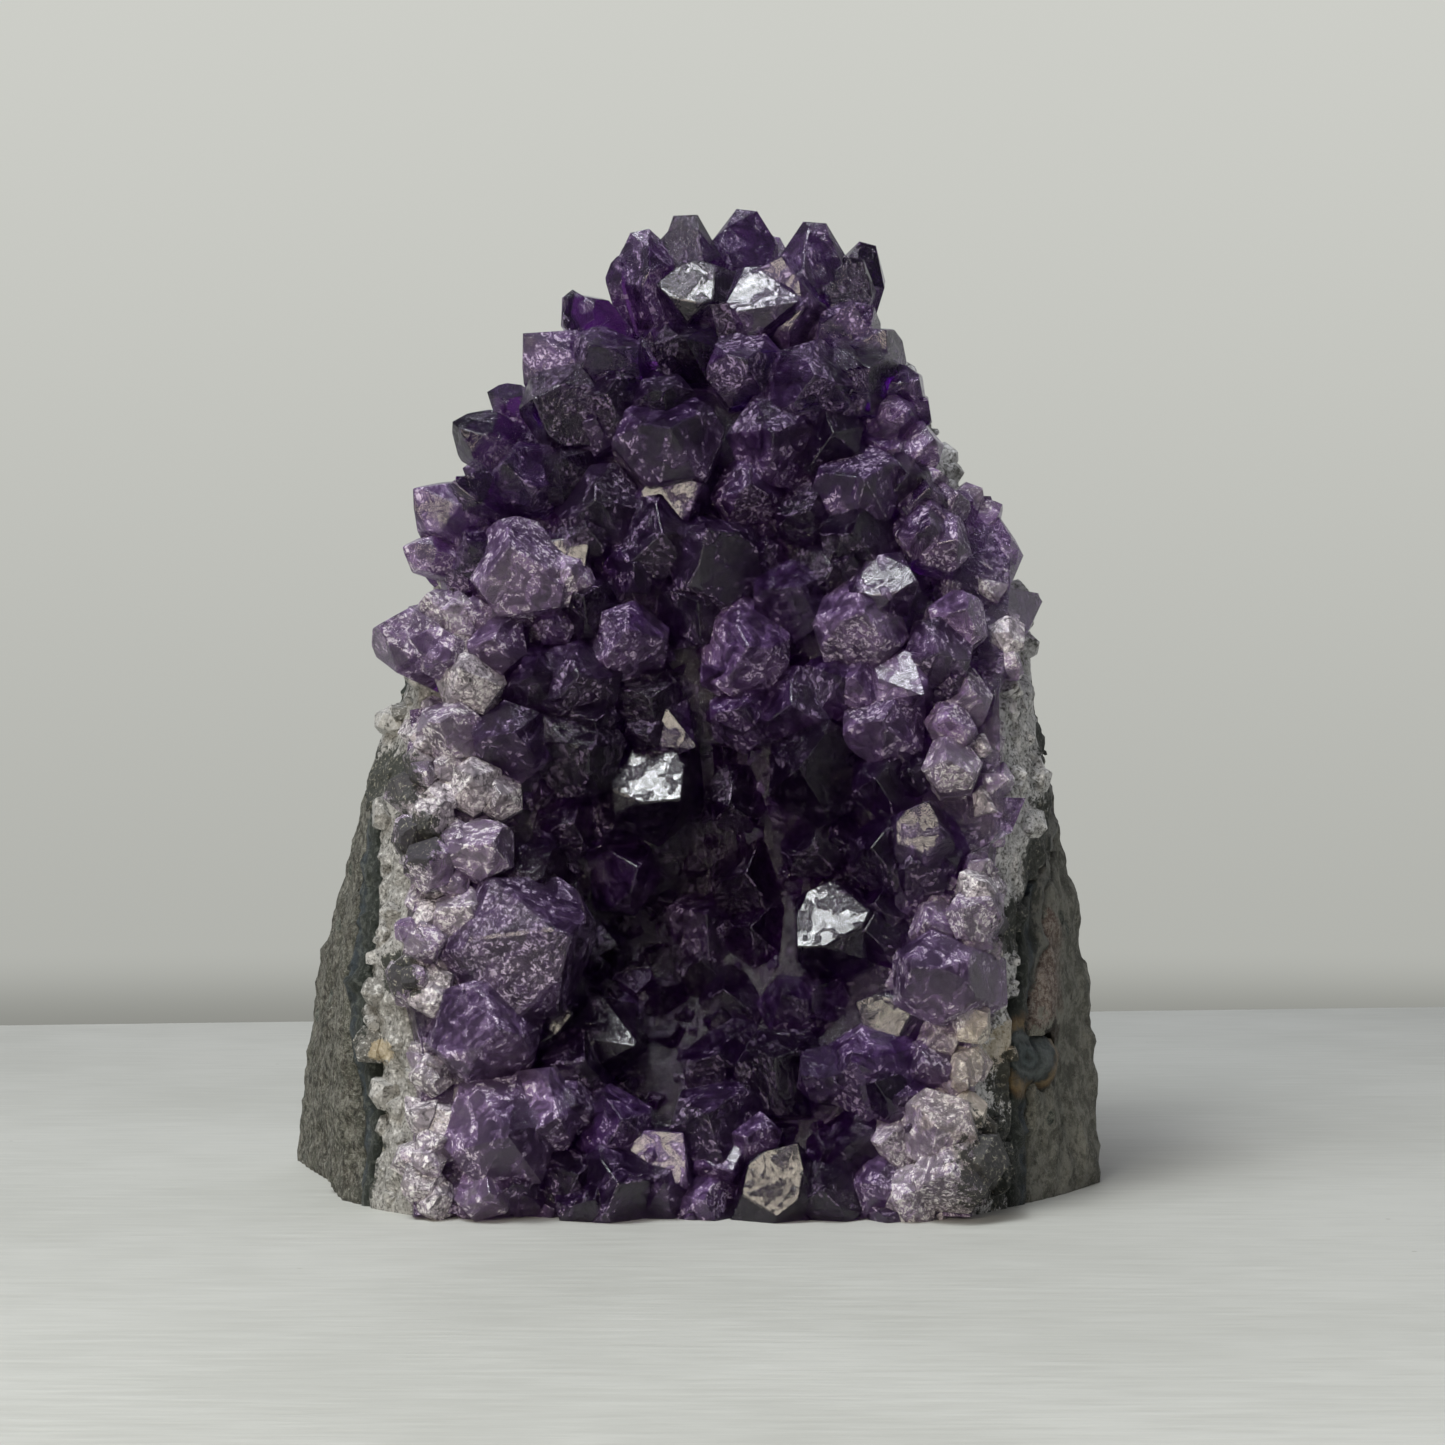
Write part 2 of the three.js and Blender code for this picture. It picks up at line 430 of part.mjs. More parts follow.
function growCrystals() {
  const dice = makeDice(71);
  const grown = [];
  for (const [tipX, tipZ, width, reach, leanX, leanZ] of CRYSTALS) {
    const habit = Math.floor(dice() * HABITS.length);
    const twist = dice() * Math.PI * 2;
    const { root, axis } = placeByTip(tipX, tipZ, reach, leanX, leanZ);
    grown.push(setCrystal(root, axis, FULLNESS * width, reach, habit, twist));
  }
  const lerp = THREE.MathUtils.lerp;
  for (let z = 1; z < FILL.top; z += FILL.pitch) {
    for (let x = FILL.left; x < FILL.right; x += FILL.pitch) {
      const at = [x + (dice() - 0.5) * FILL.jitter, z + (dice() - 0.5) * FILL.jitter];
      const width = lerp(...FILL.width, dice());
      const reach = lerp(...FILL.reach, dice());
      const lean = [(dice() - 0.5) * 2 * FILL.lean, (dice() - 0.5) * 2 * FILL.lean];
      const habit = Math.floor(dice() * HABITS.length);
      const twist = dice() * Math.PI * 2;
      const hidden = CRYSTALS.some(([tipX, tipZ, wide]) =>
        Math.hypot(tipX - at[0], tipZ - at[1]) < wide * FILL.clear);
      const span = planAt(at[1]);
      const off = at[0] < span[SPLITS_ALONG][0] - FILL.beyond
        || at[0] > span[span.length - 1 - SPLITS_ALONG][0] + FILL.beyond
        || Math.hypot(...slopesAt(...at)) > FILL.steepest;
      if (hidden || off) continue;
      const root = new THREE.Vector3(at[0], floorAt(...at), at[1]);
      grown.push(setCrystal(root, axisAt(...at, ...lean), width, reach, habit, twist));
    }
  }
  for (let x = CROWN_BACK.left; x < CROWN_BACK.right; x += CROWN_BACK.spacing) {
    const root = new THREE.Vector3(x, floorAt(x, CROWN_BACK.z), CROWN_BACK.z);
    const axis = new THREE.Vector3(0.6 * (dice() - 0.5), CROWN_BACK.back, 1).normalize();
    const habit = Math.floor(dice() * HABITS.length);
    grown.push(setCrystal(root, axis, CROWN_BACK.width, CROWN_BACK.reach, habit, dice() * Math.PI * 2));
  }
  for (let z = WRAP.bottom; z < WRAP.top; z += WRAP.pitch) {
    const { x: turnX, z: turnZ, slope, curl } = FLOOR.leftTurn;
    const from = turnX + slope * (z - turnZ);
    const start = floorAt(from, z);
    for (let y = start + WRAP.spacing; y < WRAP.depth; y += WRAP.spacing) {
      const around = y + (dice() - 0.5) * 3;
      const up = z + (dice() - 0.5) * 4;
      const width = lerp(...WRAP.width, dice());
      const reach = lerp(...WRAP.reach, dice());
      const lean = [(dice() - 0.5) * 2 * WRAP.lean, (dice() - 0.5) * 2 * WRAP.lean];
      const habit = Math.floor(dice() * HABITS.length);
      const twist = dice() * Math.PI * 2;
      const x = from - Math.sqrt((around - start) / curl);
      const root = new THREE.Vector3(x, floorAt(x, up), up);
      grown.push(setCrystal(root, axisAt(x, up, ...lean), width, reach, habit, twist));
    }
  }
  return grown;
}

// The seams between the layers, each a sheet behind the last.
const quartzFront = floorBehind(0);
const amethystBack = floorBehind(-SEAM);
const crustFront = floorBehind(-CRUST_THICKNESS);
const quartzBack = floorBehind(QUARTZ_THICKNESS - SEAM, QUARTZ_RIPPLE);
const agateFront = floorBehind(QUARTZ_THICKNESS, QUARTZ_RIPPLE);
const agateBack = floorBehind(QUARTZ_THICKNESS + AGATE_THICKNESS - SEAM, AGATE_RIPPLE);
const basaltFront = floorBehind(QUARTZ_THICKNESS + AGATE_THICKNESS, AGATE_RIPPLE);

const stone = makeStone().trimByPlane([0, 0, 1], 0);

function makeKnob(grown) {
  const ball = new THREE.SphereGeometry(1, 14, 9);
  ball.scale(...KNOB.radii.map((r) => r + grown));
  ball.translate(KNOB.x, KNOB.y, KNOB.z);
  return solidOf(ball);
}

function makeBasalt() {
  const rock = stone.intersect(between(basaltFront, () => 80));
  return largest(rock.subtract(makeKnob(SEAM)));
}

function makeAgate() {
  const band = stone.intersect(between(agateFront, agateBack));
  const knob = makeKnob(0).intersect(between(agateFront, () => 80));
  return largest(band.add(knob));
}

function makeQuartz() {
  return largest(stone.intersect(between(quartzFront, quartzBack)));
}

function makeAmethyst() {
  const crust = stone.intersect(between(crustFront, amethystBack));
  const crystals = wasm.Manifold.union(growCrystals()).intersect(between(() => -80, amethystBack));
  return largest(crust.add(crystals).trimByPlane([0, 0, 1], 0));
}

const LOOKS = {
  basalt: { color: 0x6b675f, roughness: 0.9, metalness: 0 },
  agate: { color: 0x39463f, roughness: 0.45, metalness: 0 },
  quartz: { color: 0xcfcac2, roughness: 0.35, metalness: 0 },
  amethyst: { color: 0x3c2457, roughness: 0.08, metalness: 0 },
};

function addNode(group, name, solid, look, tolerance) {
  const tidy = solid.asOriginal().simplify(tolerance);
  const mesh = new THREE.Mesh(geometryOf(largest(tidy)), new THREE.MeshStandardMaterial(LOOKS[look]));
  mesh.name = name;
  mesh.position.set(CENTRING.x, CENTRING.y, 0);
  group.add(mesh);
  return mesh;
}

const cluster = new THREE.Group();
addNode(cluster, "basalt_matrix", makeBasalt(), "basalt", 0.15);
addNode(cluster, "agate_band", makeAgate(), "agate", 0.08);
addNode(cluster, "quartz_layer", makeQuartz(), "quartz", 0.08);
addNode(cluster, "amethyst_crystals", makeAmethyst(), "amethyst", 0.26);

export default cluster;
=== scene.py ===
# A cut base amethyst cluster: a wedge broken out of the wall of a basalt geode and sawn flat
# underneath. It is put together as it grew, from the host rock at the back to the crystals in front.
import json
import math

import bpy
import numpy as np
from mathutils import Matrix, Vector

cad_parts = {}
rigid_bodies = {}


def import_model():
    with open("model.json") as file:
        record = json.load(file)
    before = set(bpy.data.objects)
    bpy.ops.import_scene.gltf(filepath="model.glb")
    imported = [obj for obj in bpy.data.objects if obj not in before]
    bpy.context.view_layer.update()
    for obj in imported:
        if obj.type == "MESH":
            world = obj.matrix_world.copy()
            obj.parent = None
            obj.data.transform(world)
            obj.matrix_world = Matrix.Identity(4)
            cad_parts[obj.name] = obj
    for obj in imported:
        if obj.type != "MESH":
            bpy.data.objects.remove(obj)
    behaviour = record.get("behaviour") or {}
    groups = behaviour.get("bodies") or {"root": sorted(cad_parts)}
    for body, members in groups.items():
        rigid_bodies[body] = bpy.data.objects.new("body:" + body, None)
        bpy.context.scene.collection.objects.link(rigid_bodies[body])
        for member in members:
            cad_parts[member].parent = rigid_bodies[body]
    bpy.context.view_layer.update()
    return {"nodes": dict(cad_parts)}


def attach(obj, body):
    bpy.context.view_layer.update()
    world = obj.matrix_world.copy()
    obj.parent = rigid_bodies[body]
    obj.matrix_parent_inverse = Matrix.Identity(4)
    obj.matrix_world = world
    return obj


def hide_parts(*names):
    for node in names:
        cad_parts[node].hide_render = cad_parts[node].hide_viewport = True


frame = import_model()

# Basalt: the dull grey-brown lava that the geode formed in. It is broken rough at the back and
# sides and sawn flat underneath, with green celadonite soaked in beside the agate.

MM = 0.001
# How far the model is moved in x and y, in millimetres, so that it stands centred as the solids do.
CENTRING = (0.63, -0.935)
# The hollow in the front: its depth, its middle in x and z, and how far it reaches each way.
HOLLOW_DEPTH, HOLLOW_X, HOLLOW_Z, HOLLOW_WIDE, HOLLOW_TALL = 15, 1, 32, 18, 20


def floor_at(x, z):
    """The sheet that the crystals stand on, as y over x and z, in millimetres.

    It leans back with height, dips in the hollow, comes forward at the sides, and curls back over the
    crown and round both edges.
    """
    dip = HOLLOW_DEPTH * np.exp(-((x - HOLLOW_X) / HOLLOW_WIDE) ** 2 - ((z - HOLLOW_Z) / HOLLOW_TALL) ** 2)
    sides = 4 * (x / 36) ** 2 * np.exp(-((z - 25) / 38) ** 2)
    crown = 0.1 * np.maximum(0, z - 97) ** 2
    left = 0.16 * np.maximum(0, -32 + 0.6 * (z - 60) - x) ** 2
    right = 0.1 * np.maximum(0, x - 34 + 0.35 * (z - 60)) ** 2
    return -23 + 0.18 * z + dip - sides + crown + left + right


def slopes_at(x, z):
    """How much y changes over one millimetre along x and along z."""
    half = 0.5
    return floor_at(x + half, z) - floor_at(x - half, z), floor_at(x, z + half) - floor_at(x, z - half)


def choose(piece):
    """Selects a piece alone, because an operator acts on all that is selected."""
    bpy.ops.object.select_all(action="DESELECT")
    piece.select_set(True)
    bpy.context.view_layer.objects.active = piece


def work(piece, kind, **settings):
    """Puts one modifier on a piece and applies it."""
    choose(piece)
    made = piece.modifiers.new(kind.lower(), kind)
    for name, value in settings.items():
        setattr(made, name, value)
    bpy.ops.object.modifier_apply(modifier=made.name)


def points_of(piece):
    """The piece's vertices in millimetres, before centring, one row each."""
    flat = np.zeros(3 * len(piece.data.vertices), np.float32)
    piece.data.vertices.foreach_get("co", flat)
    return flat.reshape(-1, 3).astype(float) / MM - (*CENTRING, 0)


def measure_in(piece):
    """Notes on each vertex how far it lies behind the crystals' floor, square to it, in millimetres."""
    x, y, z = points_of(piece).T
    slope_x, slope_z = slopes_at(x, z)
    behind = (y - floor_at(x, z)) / np.minimum(3, np.sqrt(1 + slope_x ** 2 + slope_z ** 2))
    noted = piece.data.attributes.new("behind", "FLOAT", "POINT")
    noted.data.foreach_set("value", behind.astype(np.float32))


def layer_of(node, name, grain):
    """A layer of the stone, cut from its plain solid and worked into an even mesh of that grain."""
    piece = bpy.data.objects.new(name, frame["nodes"][node].data.copy())
    bpy.context.scene.collection.objects.link(piece)
    piece.data.materials.clear()
    choose(piece)
    bpy.ops.object.mode_set(mode="EDIT")
    bpy.ops.mesh.select_all(action="SELECT")
    bpy.ops.mesh.remove_doubles(threshold=1e-5)
    bpy.ops.object.mode_set(mode="OBJECT")
    work(piece, "REMESH", mode="VOXEL", voxel_size=grain)
    return piece


def break_up(piece, *dents):
    """Roughens the broken faces by lumps of each size and depth, and leaves the sawn base flat."""
    from_height, over = 0.4, 1.6
    broken = piece.vertex_groups.new(name="broken")
    for place, height in enumerate(points_of(piece)[:, 2]):
        broken.add([place], float(np.clip((height - from_height) / over, 0, 1)), "REPLACE")
    for kind, size, depth in dents:
        lumps = bpy.data.textures.new("lumps", kind)
        lumps.noise_scale = size * MM
        work(piece, "DISPLACE", texture=lumps, texture_coords="LOCAL", strength=depth * MM,
             vertex_group="broken")
    for vertex in piece.data.vertices:
        if vertex.co.z < 0.5 * MM:
            vertex.co.z = 0
    piece.vertex_groups.clear()


def dress(piece, look):
    """Gives a piece one material all over."""
    piece.data.materials.clear()
    piece.data.polygons.foreach_set("material_index", [0] * len(piece.data.polygons))
    piece.data.materials.append(look)


def smooth(piece, degrees):
    """Shades a piece smooth but for edges that turn by more than the angle."""
    choose(piece)
    bpy.ops.object.shade_smooth_by_angle(angle=math.radians(degrees))


class Wire:
    """A socket of a material. A sum written on it adds the Math nodes that work it out."""

    def __init__(self, socket):
        self.socket = socket

    def node(self, kind, settings, sockets, output=0):
        """Adds a node: its type, its settings, then the values or wires of its sockets."""
        tree = self.socket.id_data
        made = tree.nodes.new("ShaderNode" + kind)
        for name, value in settings.items():
            if name == "stops":
                stops = made.color_ramp.elements
                while len(stops) < len(value):
                    stops.new(0.5)
                for stop, (place, color) in zip(stops, value):
                    stop.position, stop.color = place, (*color, 1)
            else:
                setattr(made, name, value)
        for name, value in sockets.items():
            if isinstance(value, Wire):
                tree.links.new(value.socket, made.inputs[name])
            else:
                made.inputs[name].default_value = value
        return Wire(made.outputs[output])

    def sum(self, operation, a, b):
        return self.node("Math", {"operation": operation}, {0: a, 1: b})

    def __add__(self, other):
        return self.sum("ADD", self, other)

    def __sub__(self, other):
        return self.sum("SUBTRACT", self, other)

    def __mul__(self, other):
        return self.sum("MULTIPLY", self, other)

    def __rsub__(self, other):
        return self.sum("SUBTRACT", other, self)

    __radd__, __rmul__ = __add__, __mul__

    def between(self, low, high):
        """Runs from 0 at low to 1 at high, eased at both ends."""
        return self.node("MapRange", {"interpolation_type": "SMOOTHSTEP"}, {0: self, 1: low, 2: high})

    def noise(self, size, detail=4.0, roughness=0.55, distortion=0.0):
        """Cloudy values about 0.5, of a size in millimetres. The wire carries the place."""
        return self.node("TexNoise", {}, {"Vector": self, "Scale": 1 / (size * MM), "Detail": detail,
                                          "Roughness": roughness, "Distortion": distortion})

    def cells(self, size, feature="F1"):
        """How far a place is from the middle, or the edge, of the cell that it lies in."""
        return self.node("TexVoronoi", {"feature": feature}, {"Vector": self, "Scale": 1 / (size * MM)})

    def along(self, way):
        """The place along x, y or z, for 0, 1 or 2."""
        return self.node("SeparateXYZ", {}, {"Vector": self}, way)

    def scaled_by(self, *sizes):
        """The place with each of its ways scaled, which stretches a pattern along the smaller ones."""
        return self.node("Mapping", {}, {"Vector": self, "Scale": sizes})

    def ramp(self, *stops):
        """The color at the wire's value, between the colors of the stops on both sides of it."""
        return self.node("ValToRGB", {"stops": stops}, {0: self})

    def mixed(self, a, b):
        """One color where the wire is 0 and the other where it is 1."""
        a, b = ((*c, 1) if isinstance(c, tuple) else c for c in (a, b))
        return self.node("Mix", {"data_type": "RGBA"}, {0: self, 6: a, 7: b}, 2)

    def relief(self, depth):
        """A bump of a depth in millimetres."""
        return self.node("Bump", {}, {"Height": self, "Strength": 1.0, "Distance": depth * MM})

    def away_from(self, x, z):
        """How far the place is, in metres, from the line that runs back from x and z."""
        flat = self.node("VectorMath", {"operation": "MULTIPLY"}, {0: self, 1: (1, 0, 1)})
        middle = ((x + CENTRING[0]) * MM, 0, z * MM)
        return self.node("VectorMath", {"operation": "DISTANCE"}, {0: flat, 1: middle}, 1)

    def patch(self, x, z, radius, rag):
        """1 round the line that runs back from x and z, and 0 past the radius. The rag frays its rim."""
        frayed = self.away_from(x, z) + (rag - 0.5) * (3 * radius * MM)
        return 1 - frayed.between(0.85 * radius * MM, radius * MM)


def start_look(name):
    """A new material and the wire of the place on the piece."""
    look = bpy.data.materials.new(name)
    look.use_nodes = True
    look.node_tree.nodes.clear()
    return look, Wire(look.node_tree.nodes.new("ShaderNodeTexCoord").outputs["Object"])


def attribute(place, name, output=2):
    """What is noted on the mesh under a name: output 2 is a value and output 1 a place."""
    return place.node("Attribute", {"attribute_name": name}, {}, output)


def end_look(look, surface, volume=None):
    output = look.node_tree.nodes.new("ShaderNodeOutputMaterial")
    look.node_tree.links.new(surface.socket, output.inputs["Surface"])
    if volume is not None:
        look.node_tree.links.new(volume.socket, output.inputs["Volume"])


def basalt_look():
    look, place = start_look("basalt")
    behind = attribute(place, "behind")
    clouds = place.noise(14, 5)
    mottle = place.noise(2.6, 5, 0.72)
    grit = place.noise(0.9, 4, 0.9)
    streaks = place.scaled_by(1.6, 1.6, 0.4).noise(1.2, 5, 0.75)
    pits = 1 - place.cells(1.3).between(0.12, 0.3)
    color = clouds.between(0.35, 0.65).mixed((0.088, 0.088, 0.067), (0.142, 0.144, 0.115))
    color = (mottle.between(0.46, 0.58) * 0.7).mixed(color, (0.25, 0.245, 0.21))
    color = (streaks.between(0.5, 0.58) * 0.65).mixed(color, (0.05, 0.04, 0.03))
    color = (grit.between(0.53, 0.59) * 0.8).mixed(color, (0.014, 0.013, 0.01))
    color = (grit.between(0.46, 0.41) * 0.65).mixed(color, (0.36, 0.355, 0.31))
    # Towards the right the basalt is paler, in mottled spots.
    right = place.along(0).between(30 * MM, 45 * MM)
    color = (right * (mottle.between(0.42, 0.58) * 0.4 + grit.between(0.42, 0.58) * 0.2)).mixed(
        color, (0.46, 0.45, 0.38))
    # Small round gas bubbles, filled with green and pale grains.
    bubble = place.cells(6.5)
    color = (1 - bubble.between(0.13, 0.17)).mixed(color, grit.between(0.4, 0.6).mixed(
        (0.03, 0.04, 0.03), (0.24, 0.25, 0.21)))
    # Only near the front: a pinkish patch above the agate knob and a black one beside it.
    front = 1 - (behind + clouds * 8).between(18, 24)
    pink = place.patch(45.5, 27, 8, mottle) * front
    spotted = grit.between(0.44, 0.56).mixed((0.42, 0.35, 0.31), (0.15, 0.09, 0.075))
    color = (pink * 0.8).mixed(color, spotted)
    rind = 1 - (behind + clouds * 6).between(12, 15)
    color = (rind * 0.3).mixed(color, (0.028, 0.035, 0.028))
    dark = place.patch(45, 17.5, 4.5, mottle) * front
    color = (dark * 0.85).mixed(color, (0.016, 0.016, 0.012))
    sawn = 1 - place.along(2).between(0.02 * MM, 0.2 * MM)
    color = (sawn * 0.5).mixed(color, (0.13, 0.125, 0.11))
    relief = (mottle * 0.8 + grit * 0.5 + streaks * 0.6 - pits * 0.3
              + bubble.between(0.1, 0.17) * 0.3).relief(1.6)
    surface = place.node("BsdfPrincipled", {}, {
        "Base Color": color, "Roughness": 0.62 + grit * 0.4, "Normal": relief})
    end_look(look, surface)
    return look


basalt = layer_of("basalt_matrix", "basalt_rock", 0.8 * MM)
break_up(basalt, ("CLOUDS", 7, 1.7), ("VORONOI", 3.5, 1.0), ("CLOUDS", 1.8, 0.7))
measure_in(basalt)
dress(basalt, basalt_look())
smooth(basalt, 50)
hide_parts("basalt_matrix")
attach(basalt, "root")

# Agate: a thin wavy band of blue-grey agate between seams of dark green celadonite, which lines the
# basalt, with a knob of rusty-rimmed rings broken open low in the right side.
KNOB_X, KNOB_Z, KNOB_RADIUS = 39.6, 17.6, 5.6


def agate_look():
    look, place = start_look("agate")
    behind = attribute(place, "behind")
    waves = place.noise(5, 5)
    fine = place.noise(0.9, 6, 0.75)
    rag = place.noise(2.2, 5, 0.7)
    across = (behind + waves * 1.8 + rag * 1.2 - 8.9) * 0.31
    color = across.ramp(
        (0.0, (0.01, 0.015, 0.01)), (0.36, (0.016, 0.022, 0.016)), (0.42, (0.07, 0.08, 0.07)),
        (0.48, (0.016, 0.023, 0.028)), (0.68, (0.035, 0.05, 0.062)), (0.76, (0.009, 0.012, 0.011)),
        (0.9, (0.012, 0.016, 0.012)), (1.0, (0.16, 0.155, 0.13)))
    color = (rag.between(0.5, 0.6) * 0.8).mixed(color, (0.013, 0.018, 0.013))
    color = (fine.between(0.52, 0.6) * 0.55).mixed(color, (0.12, 0.13, 0.115))
    color = (fine.between(0.46, 0.38) * 0.7).mixed(color, (0.008, 0.01, 0.008))
    outwards = place.away_from(KNOB_X, KNOB_Z) * (1 / (KNOB_RADIUS * MM))
    ring = outwards + (fine - 0.5) * 0.3 + (waves - 0.5) * 0.9
    rings = ring.ramp(
        (0.0, (0.02, 0.028, 0.03)), (0.14, (0.075, 0.1, 0.105)), (0.24, (0.016, 0.024, 0.026)),
        (0.38, (0.1, 0.12, 0.12)), (0.5, (0.02, 0.028, 0.03)), (0.66, (0.2, 0.14, 0.065)),
        (0.78, (0.1, 0.06, 0.025)), (0.9, (0.014, 0.018, 0.012)))
    color = (1 - ring.between(0.9, 1.05)).mixed(color, rings)
    surface = place.node("BsdfPrincipled", {}, {
        "Base Color": color, "Roughness": 0.22 + fine * 0.5,
        "Normal": (fine * 0.7 + rag * 0.8).relief(0.9)})
    end_look(look, surface)
    return look


agate = layer_of("agate_band", "agate_band_grown", 0.7 * MM)
break_up(agate, ("CLOUDS", 3, 1.4), ("VORONOI", 2.2, 1.1), ("CLOUDS", 1.2, 0.5))
measure_in(agate)
dress(agate, agate_look())
smooth(agate, 50)
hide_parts("agate_band")
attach(agate, "root")

# Quartz: white to cream granular quartz between the agate and the amethyst, broken across at the
# sides so that its glassy grains show, with ragged celadonite grown into it from the agate.

# The x, z and radius of each spot of celadonite.
GREEN_SPOTS = [(-32.5, 44, 3.4), (-34.5, 28, 2.6), (-35, 51, 3.2), (36.4, 6.5, 6.6), (37.5, 15, 3.4),
               (38.5, 33, 3.4)]
# The radii of the grains, how many are thrown, and how far behind the crystals' floor they are kept.
GRAIN_SIZES, GRAIN_THROWS, GRAIN_DEPTHS = (0.8, 2.6), 1500, (1.4, 7.5)


def make_dice(seed):
    """Repeatable numbers from 0 to 1."""
    def throw():
        nonlocal seed
        seed = (seed * 1664525 + 1013904223) % 2 ** 32
        return seed / 2 ** 32

    return throw


def to_millimetres(mesh):
    """Takes a mesh from metres, where it stands centred, to the millimetres that the floor is given in."""
    mesh.transform(Matrix.Translation((-CENTRING[0], -CENTRING[1], 0)) @ Matrix.Scale(1 / MM, 4))


def to_metres(mesh):
    mesh.transform(Matrix.Scale(MM, 4) @ Matrix.Translation((*CENTRING, 0)))


def scattered(mesh, count, throw):
    """Places thrown evenly over a mesh."""
    mesh.calc_loop_triangles()
    patches = [[mesh.vertices[i].co.copy() for i in patch.vertices] for patch in mesh.loop_triangles]
    spans = np.cumsum([patch.area for patch in mesh.loop_triangles])
    for _ in range(count):
        a, b, c = patches[int(np.searchsorted(spans, throw() * spans[-1]))]
        u, v = throw(), throw()
        if u + v > 1:
            u, v = 1 - u, 1 - v
        yield a + (b - a) * u + (c - a) * v


def added(primitive, **sizes):
    """A new primitive, alone in the selection."""
    bpy.ops.object.select_all(action="DESELECT")
    primitive(**sizes)
    return bpy.context.object


def cut_off(point, way):
    """Cuts the shape being edited square to a way at a point, and closes the cut."""
    bpy.ops.mesh.select_all(action="SELECT")
    bpy.ops.mesh.bisect(plane_co=point, plane_no=way, use_fill=True, clear_outer=True)


def cut_grain(throw):
    """A broken grain of unit radius: a ball cut to a few flat faces."""
    made = added(bpy.ops.mesh.primitive_ico_sphere_add, subdivisions=1, radius=1.15)
    bpy.ops.object.mode_set(mode="EDIT")
    for _ in range(7):
        way = Vector((throw() - 0.5, throw() - 0.5, throw() - 0.5)).normalized()
        cut_off(way * (0.55 + 0.3 * throw()), way)
    bpy.ops.mesh.select_all(action="SELECT")
    bpy.ops.mesh.remove_doubles(threshold=1e-3)
    bpy.ops.mesh.normals_make_consistent(inside=False)
    bpy.ops.object.mode_set(mode="OBJECT")
    return made


def any_turn(throw):
    """A turn by any angle about any line."""
    return Matrix.Rotation(6.28 * throw(), 4, Vector((throw() - 0.5, throw() - 0.5, throw() - 0.5)))


def fuse(piece, others):
    """Grows a piece and all that a collection holds into one closed mesh, and clears the others away."""
    work(piece, "BOOLEAN", operation="UNION", solver="MANIFOLD", operand_type="COLLECTION",
         collection=others)
    for other in list(others.objects):
        bpy.data.objects.remove(other)
    bpy.data.collections.remove(others)


def note(mesh, name, value, kind="FLOAT", domain="FACE"):
    """Keeps a value with the mesh for its material: one for all of it, or a row for each part."""
    noted = mesh.attributes.new(name, kind, domain)
    rows = np.empty((len(noted.data), 3 if kind == "FLOAT_VECTOR" else 1), np.float32)
    rows[:] = value
    noted.data.foreach_set("vector" if kind == "FLOAT_VECTOR" else "value", rows.ravel())


def greened(place, rag):
    """1 in the ragged spots of celadonite among the pale lumps."""
    spotted = 0
    for x, z, radius in GREEN_SPOTS:
        spotted = place.sum("MAXIMUM", spotted, place.patch(x, z, radius, rag))
    return spotted


def quartz_look():
    look, place = start_look("quartz")
    behind, own = attribute(place, "behind"), attribute(place, "own")
    clouds = place.noise(7, 5)
    fine = place.noise(0.6, 5, 0.75)
    rag = place.noise(2.0, 5, 0.8)
    color = (own + (clouds - 0.5) * 0.8).between(0.1, 0.9).mixed((0.15, 0.145, 0.13), (0.46, 0.45, 0.43))
    # The right side is whiter: paler quartz, lightened further as painted light on this side, which turns
    # away from the lamps.
    right = place.along(0).between(10 * MM, 30 * MM)
    color = (right * (fine.between(0.42, 0.56) * 0.5 + rag.between(0.47, 0.54) * 0.45)).mixed(
        color, (0.93, 0.92, 0.92))
    color = (fine.between(0.54, 0.62) * 0.7).mixed(color, (0.8, 0.79, 0.77))
    seams = 1 - place.cells(1.9, "DISTANCE_TO_EDGE").between(0.0, 0.1)
    color = ((fine.between(0.48, 0.38) + seams * 0.5) * 0.75).mixed(color, (0.075, 0.072, 0.065))
    # A rust stain beside the knob, and a small one on the left.
    rusty = place.patch(37.5, 18, 4, rag) + place.patch(-37, 18.5, 1.5, rag)
    color = (rusty * 0.5).mixed(color, (0.62, 0.5, 0.3))
    # Celadonite, next to the agate and in spots, with pale grains in it.
    green = (behind + (rag - 0.5) * 12).between(6.2, 7.2)
    green = green.sum("MAXIMUM", green, greened(place, rag))
    color = (green * 0.92).mixed(color, fine.between(0.56, 0.61).mixed(
        (0.01, 0.014, 0.009), (0.22, 0.21, 0.16)))
    relief = (fine * 0.7 + rag * 0.6).relief(0.5)
    surface = place.node("BsdfPrincipled", {}, {
        "Base Color": color, "Roughness": 0.1 + fine * 0.4 + green * 0.5, "IOR": 1.544, "Normal": relief})
    end_look(look, surface)
    return look


